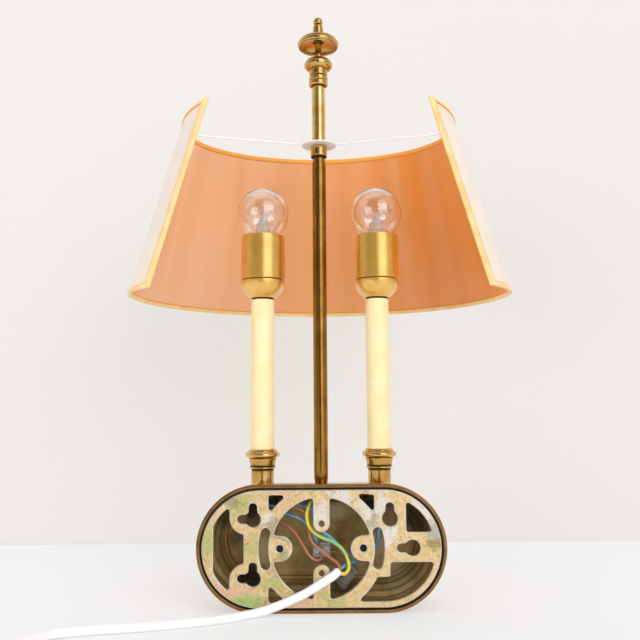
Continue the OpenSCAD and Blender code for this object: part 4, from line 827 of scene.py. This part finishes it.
def bulb(side, x):
    """One round bulb: double-walled glass, threaded cap, glass mount, lead wires and coiled filament."""
    body = "bulb_" + side
    neck_low = CAP_TOP - 6
    shoulder = np.array([[NECK_R, neck_low], [NECK_R, CAP_TOP + 0.5]])
    a = np.linspace(-math.radians(42), math.pi / 2, 60)
    globe = np.column_stack([GLOBE_R * np.cos(a), GLOBE_Z + GLOBE_R * np.sin(a)])
    outer = even(soften(np.vstack([shoulder, globe[:-1], [[0, GLOBE_Z + GLOBE_R]]]), 4.0, 6), 0.5)
    scale = 1 - GLASS / GLOBE_R
    inner = np.column_stack([outer[:, 0] * scale, GLOBE_Z + (outer[:, 1] - GLOBE_Z) * scale])
    inner[:, 0] = np.minimum(inner[:, 0], outer[:, 0] - 0.6)
    inner[-1, 0] = 0
    inner = np.maximum(inner, [0, neck_low])
    piece("globe_" + side, [turned(np.vstack([outer, inner[::-1]]), x, count=96)], body, [CLEAR],
          ["bulb_glass_" + side], loop=True)
    turns, rows, pitch, high, root = 64, 150, 3.63, 20, 12.75
    z = np.linspace(0, high, rows)
    around = np.arange(turns) * TURN / turns
    wave = 12.83 + 0.22 * np.cos(TURN * z[:, None] / pitch - around[None, :])
    ends = np.clip(np.minimum(z, high - z) / 1.5, 0, 1)[:, None]
    r = root + (wave - root) * ends
    thread = np.stack([x + r * np.cos(around), STEM_Y + r * np.sin(around),
                       np.repeat((CAP_LOW + z)[:, None], turns, 1)], -1)
    collar = soften([[root, high], [13.05, high + 0.6], [13.1, high + 3], [12.25, high + 3], [12.2, 0.2],
                     [root, 0]], 0.2)
    piece("screw_cap_" + side, [np.concatenate([thread, turned(collar, x, STEM_Y, CAP_LOW, turns)])], body,
          [CAP], ["bulb_cap_" + side], loop=True)
    flare = CAP_TOP - 5.5
    mount = soften([[0, flare], [11.2, flare], [11.2, flare + 1], [7.6, flare + 5], [6.4, flare + 9],
                    [5.8, GLOBE_Z - 9], [3.4, GLOBE_Z - 6.5], [2.2, GLOBE_Z - 1], [0, GLOBE_Z]], 0.8, 6)
    node = "bulb_filament_" + side
    piece("mount_" + side, [turned(mount, x)], body, [PRESSED], [node])
    start, ring_r, ring_z, lead_r = 10, 9.0, GLOBE_Z + 3, 0.32
    route = [(1.2, GLOBE_Z - 9), (5.4, GLOBE_Z - 4.5), (ring_r, ring_z)]
    runs = [smooth_run([[x + r * math.cos(s), STEM_Y + r * math.sin(s), h] for r, h in route], 8)
            for s in np.radians([start, start + 120, start + 240])]
    coil_r, coil_turns, sag, wire_r = 0.45, 90, 1.2, 0.13
    t = np.linspace(0, 1, 1500)
    sweep = math.radians(start) + t * math.radians(300)
    turn = t * TURN * coil_turns
    reach = ring_r + coil_r * np.cos(turn)
    droop = sag * np.sin(3 * (sweep - sweep[0])) ** 2
    coil = np.column_stack([x + reach * np.cos(sweep), STEM_Y + reach * np.sin(sweep),
                            ring_z + coil_r * np.sin(turn) - droop])
    leads = [swept(run, lead_r, (0, 0, 1), 8) for run in runs]
    piece("filament_" + side, leads + [swept(coil, wire_r, (0, 0, 1), 5)], body, [FILAMENT],
          [node])


def stem():
    """Stem tube, collar with a ring of painted shade at its foot, and the shade's white disc with three arms.
    """
    piece("stem", [turned(even(ring_profile(5.25, 6.0, BASE_TOP, COLLAR_LOW), 6.0))], "fixture",
          [SHADED_STEM_BRASS], ["stem_tube"], loop=True)
    collar = [[5.25, 0], [6.3, 0], [6.3, 0.9], [7.25, 1.2], [7.25, 9.6], [6.7, COLLAR_H], [5.25, COLLAR_H]]
    turned_piece("collar", collar, "fixture", BRASS, "shade_collar", z=COLLAR_LOW)
    # Painted shade: a dark ring where the collar meets the stem tube
    foot = ring_profile(5.3, 6.9, COLLAR_LOW, COLLAR_LOW + 1.1, 0.3)
    piece("collar_foot_shade", [turned(foot)], "fixture", [DARK_RUBBER_AND_SHADE], loop=True)
    disc = turned(ring_profile(5.3, 15.0, DISC_LOW, DISC_TOP, 0.5))
    piece("carrier_disc", [disc], "shade", [ENAMEL], ["shade_carrier"], loop=True)
    level = (DISC_LOW + DISC_TOP) / 2
    v = (level + 2.8 - LOW_OVAL["z"]) / (TOP_OVAL["z"] - LOW_OVAL["z"])
    joints = [(TAPE_U / 2, v), (1 - TAPE_U / 2, v), (0.5, 1 - TAPE_V / 2)]
    ends = np.array([shade_at(u, up, 0.1) for u, up in joints])
    hub = np.array([0, STEM_Y, level])
    flat = unit((ends - hub) * [1, 1, 0])
    runs = [np.linspace(hub + 12 * d, e, 12) for d, e in zip(flat, ends)]
    piece("carrier_arms", [swept(run, 0.8, (0, 0, 1), 12) for run in runs], "shade", [ENAMEL],
          ["shade_carrier"])


def shade():
    """Cloth outside, coated lining inside, ribbon round the edge. Returns cloth, lining and ribbon."""
    cover = piece("shade_cloth", [shade_sheet(0.05, COVER)], "shade", [CLOTH], ["shade_cover"])
    lining = piece("shade_film", [shade_sheet(-LINING, -0.05)], "shade", [FILM],
                   ["shade_lining"])
    ribbon = piece("shade_ribbon", [tape_band()], "shade", [TAPE], ["shade_tape"], loop=True,
                   sharp=50)
    return cover, lining, ribbon


def finial():
    """Upper tube and the finial's turned pieces, one on top of the other."""
    bore = 2.1
    piece("upper_stem", [turned(even(ring_profile(5.3, 6.0, TUBE_LOW, TUBE_TOP), 4.0))], "finial",
          [LIT_UPPER_BRASS], ["upper_tube"], loop=True)
    ferrule = np.vstack([[[bore, -6], [5.25, -6], [5.25, 0], [7.5, 0]], bead(7.7, 8.5, 0, 4.5),
                         bead(7.7, 8.5, 4.5, 8.7), [[7.6, 9.1], [8.0, 9.5], [8.1, 15], [bore, 15]]])
    bell = np.vstack([[[bore, 0], [8.5, 0]], quarter(8.5, 12.6, 0, 4.41), crown(4.1, 12.6, 4.41, 10.5),
                      [[bore, 10.5]]])
    a = np.linspace(math.pi / 2, 0, 20)
    hollow = np.column_stack([4.1 + 12.5 * np.cos(a), 10.2 + 5.4 * np.sin(a)])
    saucer = np.vstack([[[bore, 0], [2.9, 0], [2.9, 14.4]], hollow, bead(17.1, 17.7, 10.2, 11.4),
                        bead(17.3, 18.5, 11.4, 15.4), crown(4.2, 17.1, 15.4, 21), [[bore, 21]]])
    for name, profile, low, step in (("ferrule", ferrule, TUBE_TOP, 0.3), ("bell", bell, BELL_LOW, 0.3),
                                     ("saucer", saucer, SAUCER_LOW, 0.25)):
        turned_piece(name, profile, "finial", BRASS, "finial_" + name, z=low, step=step)
    a = np.linspace(-math.radians(41.1), math.pi / 2, 20)
    ball = np.column_stack([4.2 * np.cos(a), 13.8 + 4.2 * np.sin(a)])
    knob = np.vstack([[[0, 0], [3.8, 0]], bead(3.8, 4.7, 0.4, 10.44), ball])
    line = even(soften(knob, 0.3), 0.25)
    piece("knob", [turned(line, z=KNOB_LOW)], "finial", [BRASS], ["finial_knob"],
          tints=[grooves(line)])


# Wires inside the base: routes as in the part's source

BROWN_FEED = [[-11, 4.4, -18.1], [-12.9, 3.5, -16.9], [-14.3, 1.6, -15], [-13, -2.5, -12.4], [-6.2, -8.5, -8.3],
              [-0.5, -11, -3.8], [5, -12, 0.2], [8.8, -12.5, 5], [10, -13, 11.5], [11.5, -14, 21],
              [15, -15, 28], [22, -16, 30.8], [34, -19, 30.5], [44, -23.5, 28], [49, -24.8, 29.5]]
BROWN_LOOP = [[0, -20, -8.5], [0.8, -18.5, -11.6], [5, -16, -12], [9.4, -15.5, -9], [13, -15.5, -4],
              [18, -15.5, 4], [24, -15.5, 12.3], [32, -19, 17], [40, -25, 21], [47, -28.3, 26]]
BROWN_RIGHT = [[-6, -24, -6], [-9.5, -24, -6.5], [-14, -24, -7.6], [-26, -25, -9], [-38, -27, -7.5],
               [-46, -28, 2], [-49, -28, 16]]
BLUE_LOOP = [[-49, -24, 15], [-46, -22, 0], [-40, -20, -8.5], [-30, -17.5, -10.5], [-22.5, -16, -7.5],
             [-14, -16, 0], [-7.3, -16, 6.4], [-1.5, -16.4, 10.4], [3.4, -17.4, 15], [6, -19, 22.5],
             [8.8, -20.4, 28.5], [14, -21, 31.6], [22, -22, 32], [34, -24, 30.8], [42, -25, 31]]
BLUE_LEFT = [[3, -20, -1], [4.4, -19, 3.5], [6.8, -18.5, 8.1], [10, -18.5, 14], [14, -18.8, 18.6],
             [19, -19, 21.8], [26, -20.5, 24], [34, -25, 27], [41, -28.3, 30.5]]
BLUE_FEED = [[-10.3, 1.7, -18.6], [-12.2, 0.9, -17.4], [-14.6, -1.8, -16.6], [-17.5, -5.8, -15.6],
             [-20.5, -10, -14.4], [-25, -12, -13.2], [-28.4, -15, -13.6], [-27.4, -17.5, -17]]
EARTH_RUN = [[3, -13, 41.1], [7.5, -11, 37.8], [10, -9, 32.8], [11.6, -8, 28], [11.6, -8, 21.6], [9.1, -8, 15],
             [3.5, -8, 9.8], [-3.3, -8, 6.4], [-10, -8, 3.6], [-15.8, -8, -1], [-19.8, -7.6, -6.6],
             [-22, -6.2, -13.2], [-21.4, -3.8, -17.4], [-18.8, -1.2, -19.9], [-16, 1, -19.6],
             [-13.9, 2.2, -19.1], [-12, 3, -20.3]]


def wires():
    """Brown, blue and earth wires, and the block and connector that join them."""
    step = 0.7 * 2 * LEAD_R

    def rise(side, dx, dy):
        """Points of a wire's run up a candle's tube."""
        heights = (TUBE_END - 2, TUBE_END + 8, TUBE_END + 20, INSERT_LOW)
        return [[side * CANDLE_X + dx, STEM_Y + dy, z] for z in heights]

    brown = [BROWN_FEED + rise(1, step, step), BROWN_LOOP + rise(1, step, -step),
             BROWN_RIGHT + rise(-1, 0, -step)]
    blue = [rise(-1, 0, step)[::-1] + BLUE_LOOP + rise(1, -step, step), BLUE_LEFT + rise(1, -step, -step),
            BLUE_FEED]
    for hue, routes, finish in (("brown", brown, BROWN), ("blue", blue, BLUE)):
        piece(hue + "_leads", [swept(smooth_run(route, 6), LEAD_R, (0, 1, 0)) for route in routes], "fixture",
              [finish], [hue + "_wires"])
    piece("earth_lead", [swept(smooth_run(EARTH_RUN, 8), EARTH_R, (0, 1, 0))], "fixture",
          [EARTH], ["earth_wire"])
    shells = [block((0, -21.5, -4), (15, 9, 12), 1.0), block((-4, -21.5, -4), (7, 13, 8), 1.6),
              block((4, -21.5, -4), (7, 13, 8), 1.6)]
    piece("screw_block", shells, "fixture", [MILKY], ["terminal_block"])
    head = even(soften([[0, 0], [2.1, 0], [2.1, 1.4], [0.9, 1.4], [0.9, 0.6], [0, 0.6]], 0.2), 0.15)
    screw = turned(head, 0, 0, 0, 40)
    screw = np.stack([screw[..., 0], screw[..., 2], screw[..., 1]], -1)
    piece("terminal_screws", [screw + np.array([x, -16.2, -4]) for x in (-4, 4)], "fixture",
          [ZINC])
    slant = 49
    case = [block((0, 0, 0), (20, 13, 11), 1.4, slant), block((0, 7, 0), (12, 3, 7), 1.0, slant)]
    piece("push_block", [g + np.array([-20.5, -17.5, -24.5]) for g in case], "fixture",
          [SMOKY], ["push_connector"])


# Mains cable: out of the base, over its rim, along the table, then a coil and a plug

COIL_X, COIL_Y, COIL_Z, COIL_OUT, COIL_IN = 166.0, 186.0, -46.3, 48.725, 27.275
COIL_PITCH, COIL_LAYER, COIL_TURNS = 7.8, 7.6, 2.75
CABLE_RUN = [[-13, 2.2, -17.8], [-9.4, 5.2, -20.2], [-4.4, 6.8, -23.1], [0, 7, -25.8], [14, 7, -34],
             [30, 7.2, -41], [44, 9.4, -45.6], [56, 14, -47.5], [70, 24, -47.5], [90, 34, -47.5],
             [110, 41.5, -47.5], [129, 47.5, -47.5], [152, 53, -47.5], [174, 58, -47.5], [192, 66, -47.5],
             [205, 80, -47.5], [212, 97, -47.5], [214.5, 118, -47.5], [215, 145, -47.3]]


def coil_points():
    """Points on the coil: a flat spiral in, half a turn up to a second layer, and a spiral out."""
    rise = 0.5
    turn = np.linspace(0, 2 * COIL_TURNS + rise, 433)
    s = turn - COIL_TURNS
    upper = np.where(s < rise, COIL_IN - COIL_PITCH * (s - s**2 / rise), COIL_IN + COIL_PITCH * (s - rise))
    radius = np.where(s < 0, COIL_OUT - COIL_PITCH * turn, upper)
    t = np.clip(s / rise, 0, 1)
    return np.column_stack([COIL_X + radius * np.cos(TURN * turn), COIL_Y + radius * np.sin(TURN * turn),
                            COIL_Z + COIL_LAYER * t**2 * (3 - 2 * t)])


def cord():
    """The mains cable as one tube, with its tie and plug, laid on the table in a coil."""
    loops = coil_points()
    into, outof = unit(loops[6] - loops[0]), unit(loops[-1] - loops[-7])
    first, last = loops[0] - 2 * CABLE_R * into, loops[-1] + 2 * CABLE_R * outof
    plug_x, plug_y, plug_z = last[0] + 1.5, last[1] + 48, -32.0
    run = smooth_run(CABLE_RUN + [(first - 9 * into).tolist(), first.tolist()], 6)
    lead = smooth_run([last, last + 10 * outof, last + [1, 24, 5], [plug_x, plug_y - 10, plug_z],
                       [plug_x, plug_y, plug_z]], 8)
    path = np.vstack([run, loops, lead])
    path[:, 2] = np.maximum(path[:, 2], TABLE_Z + CABLE_R)
    cable = piece("cable", [swept(path, CABLE_R, (0, 0, 1), 16)], "fixture", [SHEATH],
                  ["mains_cable", "mains_cable_coil"])
    slack, half_t, half_w = 0.6, 0.45, 4.5
    wide = COIL_PITCH * (COIL_TURNS - 0.75) + 2 * CABLE_R + slack
    tall = COIL_LAYER + 2 * CABLE_R + slack
    square = np.array([[-1, -1], [1, -1], [1, 1], [-1, 1]])
    band = soften(square * [wide / 2 + half_t, tall / 2 + half_t], 3.0, 8, loop=True)
    aside = unit(np.roll(band, -1, 0) - np.roll(band, 1, 0))[:, ::-1] * [1, -1]
    middle = COIL_OUT - COIL_PITCH * (COIL_TURNS + 0.25) / 2
    section = soften(square * [half_t, half_w], 0.3, 3, loop=True)
    ring = band[:, None] + section[None, :, :1] * aside[:, None]
    tie = np.stack([COIL_X - middle + ring[..., 0], COIL_Y + np.repeat(section[None, :, 1], len(band), 0),
                    COIL_Z + COIL_LAYER / 2 + ring[..., 1]], -1)
    tie_piece = piece("tie", [tie], "fixture", [TIE], ["coil_tie"], loop=True)
    plug_h, grow = 54, 0.28
    ribs = np.vstack([bead(4.9 + grow * k, 5.4 + grow * k, 1 + 3 * k, 3 + 3 * k, 8) for k in range(5)])
    shape = np.vstack([[[0, 0], [4.7, 0]], ribs, quarter(6.5, 16, 16, 24),
                       [[17, 28], [16, 34], [18, 40], [19, 44], [19, plug_h - 0.6], [18.4, plug_h],
                        [0, plug_h]]])
    grid = turned(even(soften(shape, 0.8, 5), 0.6), 0, 0, 0, 72)
    grid = np.stack([plug_x + grid[..., 0], plug_y + grid[..., 2], plug_z + grid[..., 1]], -1)
    plug = piece("plug", [grid], "fixture", [PLUG], ["mains_plug"])
    pin_r, pin_h, pin_x = 2.4, 19, 9.5
    pin = turned(np.vstack([[[0, 0], [pin_r, 0]], crown(0, pin_r, pin_h - pin_r, pin_h)]), 0, 0, 0, 32)
    pin = np.stack([plug_x + pin[..., 0], plug_y + plug_h + pin[..., 2], plug_z + pin[..., 1]], -1)
    pins = piece("pins", [pin + np.array([s * pin_x, 0, 0]) for s in (-1, 1)], "fixture", [ZINC],
                 ["plug_pins"])


def finish_cad():
    """Materials of the CAD nodes that keep their own shape."""
    kept = {"plate_studs": STEEL, "earth_lug": ZINC, "base_washers": ZINC, "base_nuts": ZINC, "stem_rod": BRASS,
            "shade_wire": ENAMEL, "finial_stud": ZINC}
    for side in ("left", "right"):
        kept.update({"candle_tube_" + side: BRASS, "holder_insert_" + side: PORCELAIN,
                     "socket_thread_" + side: CONTACT, "socket_contact_" + side: CONTACT,
                     "bulb_insulator_" + side: BLACK_GLASS})
    for name, finish in kept.items():
        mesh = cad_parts[name].data
        mesh.materials.clear()
        mesh.materials.append(finish)


# Camera, stage and light, in metres

def camera():
    """Camera in front of the wall side, a little above the base, tilted up and rolled by a hair."""
    place, tilt, roll = (0, 0.658, 0.1115), math.radians(6.4), math.radians(-0.4)
    data = bpy.data.cameras.new("camera")
    data.lens, data.sensor_width = 44.775, 36.0
    made = bpy.data.objects.new("camera", data)
    turn = Matrix.Rotation(math.pi, 4, "Z") @ Matrix.Rotation(math.pi / 2 + tilt, 4, "X")
    made.matrix_world = Matrix.Translation(place) @ turn @ Matrix.Rotation(roll, 4, "Z")
    bpy.context.scene.collection.objects.link(made)
    bpy.context.scene.camera = made


def one_sided(name, colour, shade, plain, share):
    """Matt paint that shows from its front only, so that the stage never hides the lamp.

    To the eye, and in metal and glass, a share of its colour is plain and the rest takes light and shade."""
    made, tree, shader, where = material(name, Roughness=0.7)
    cloud = put(tree, "TexNoise", {"Vector": where, "Scale": per_metre(333), "Detail": 3.0})
    tone = put(tree, "Mix", {0: cloud, 6: linear(colour), 7: linear(shade)}, 2, data_type="RGBA")
    wire(tree, shader, {"Base Color": tone})
    paths = put(tree, "LightPath", {}).node.outputs
    eye = put(tree, "Math", {0: paths["Is Camera Ray"], 1: paths["Is Glossy Ray"]}, operation="MAXIMUM")
    seen = put(tree, "Math", {0: eye, 1: paths["Is Transmission Ray"]}, operation="MAXIMUM")
    part = put(tree, "Math", {0: seen, 1: share}, operation="MULTIPLY")
    glow = put(tree, "Emission", {"Color": linear(plain)})
    front = put(tree, "MixShader", {0: part, 1: shader.outputs[0], 2: glow})
    behind = put(tree, "NewGeometry", {}, "Backfacing")
    both = put(tree, "MixShader", {0: behind, 1: front, 2: put(tree, "BsdfTransparent", {})})
    wire(tree, tree.nodes["Material Output"], {"Surface": both})
    return made


def stage():
    """A pale table top and the pale wall behind it, with a narrow dark gap between them."""
    back, gap, far, low = -0.343, 0.003, 3.0, TABLE_Z * MM
    faces = {"floor": [(-far, back + gap, low), (far, back + gap, low), (far, far, low), (-far, far, low)],
             "wall": [(far, back, -far), (-far, back, -far), (-far, back, far), (far, back, far)]}
    colours = {"floor": ("f7f8f8", "f4f5f5", "f8f8f8", 0.5), "wall": ("e8e5e2", "e4e1dd", "efebe6", 0.55)}
    for name, corners in faces.items():
        mesh = bpy.data.meshes.new(name)
        mesh.from_pydata(corners, [], [(0, 1, 2, 3)])
        mesh.materials.append(one_sided("paint " + name, *colours[name]))
        made = bpy.data.objects.new(name, mesh)
        bpy.context.scene.collection.objects.link(made)


def flags():
    """Two dark upright cards near the camera, a low one and a high one, which only polished metal shows."""
    away, cards = 0.95, [((-0.1, -0.05), (0.26, 0.24)), ((0.5, 0.4), (0.85, 1.3))]
    corners = [(x, away, z) for (x0, z0), (x1, z1) in cards
               for x, z in ((x0, z0), (x1, z0), (x1, z1), (x0, z1))]
    mesh = bpy.data.meshes.new("flags")
    mesh.from_pydata(corners, [], [(0, 1, 2, 3), (4, 5, 6, 7)])
    mesh.materials.append(material("felt dark", Base_Color=linear("4a3a28"), Roughness=0.9)[0])
    made = bpy.data.objects.new("flags", mesh)
    for ray in ("camera", "diffuse", "transmission", "volume_scatter", "shadow"):
        setattr(made, "visible_" + ray, False)
    bpy.context.scene.collection.objects.link(made)


def lamp(name, place, target, size, power, colour):
    """Soft light of a width and height at a place, pointed at a target. Metal doesn't show it."""
    data = bpy.data.lights.new(name, "AREA")
    data.shape, data.energy, data.color = "RECTANGLE", power, linear(colour)[:3]
    data.size, data.size_y = size
    made = bpy.data.objects.new(name, data)
    made.location = place
    made.rotation_euler = (Vector(target) - Vector(place)).to_track_quat("-Z", "Y").to_euler()
    made.visible_glossy = False
    bpy.context.scene.collection.objects.link(made)


def light():
    """A wide key light high at the right, a low fill at the left and a small top light.

    Metal shows the room instead of them: pale sides, dim upright bands and a tall cool window."""
    lamp("key", (-1.35, 2.2, 1.3), (0, -0.05, 0.2), (2.0, 1.2), 19.0, "fff6ec")
    lamp("fill", (1.3, 1.7, 0.35), (0.25, -0.34, 0.1), (1.2, 1.2), 16.0, "fbfbff")
    lamp("top", (0.1, 0.1, 1.7), (0, -0.05, 0.1), (1.2, 1.2), 4.5, "ffffff")
    world = bpy.data.worlds.new("room")
    world.use_nodes = True
    tree = world.node_tree
    way = put(tree, "TexCoord", {}, "Generated")
    _, y, z = put(tree, "SeparateXYZ", {"Vector": way}).node.outputs
    tall = put(tree, "Mapping", {"Vector": way, "Scale": (1.0, 1.0, 0.25)})
    wave = put(tree, "TexNoise", {"Vector": tall, "Scale": 3.4, "Detail": 2.0})
    dim = tinted(tree, "95846c", "e2dacd", wave, 0.45, 0.56)
    lit = tinted(tree, dim, "a09b95", z, -0.1, 0.7)
    sides = tinted(tree, "f6f5f4", lit, y, 0.1, 0.85)
    pane = put(tree, "VectorMath", {0: tall, 1: (-0.44, 0.81, 0.09)}, "Value", operation="DISTANCE")
    daylight = (2.6, 2.75, 3.1, 1.0)
    room = tinted(tree, sides, daylight, pane, 0.4, 0.3)
    seen = put(tree, "LightPath", {}, "Is Camera Ray")
    colour = put(tree, "Mix", {0: seen, 6: room, 7: linear("f4f2ef")}, 2, data_type="RGBA")
    wire(tree, tree.nodes["Background"], {"Color": colour, "Strength": 0.65})
    bpy.context.scene.world = world
    bpy.context.scene.view_settings.view_transform = "Standard"


camera()
stage()
flags()
light()
cord()
base()
plate()
cap_nuts()
for label, offset in (("left", CANDLE_X), ("right", -CANDLE_X)):
    candle(label, offset)
    holder(label, offset)
    bulb(label, offset)
stem()
cloth, film, ribbon = shade()
finial()
wires()
finish_cad()

middle = shade_at(np.linspace(0, 1, 200)[:, None], np.linspace(0, 1, 20)[None, :], 0.0) * MM
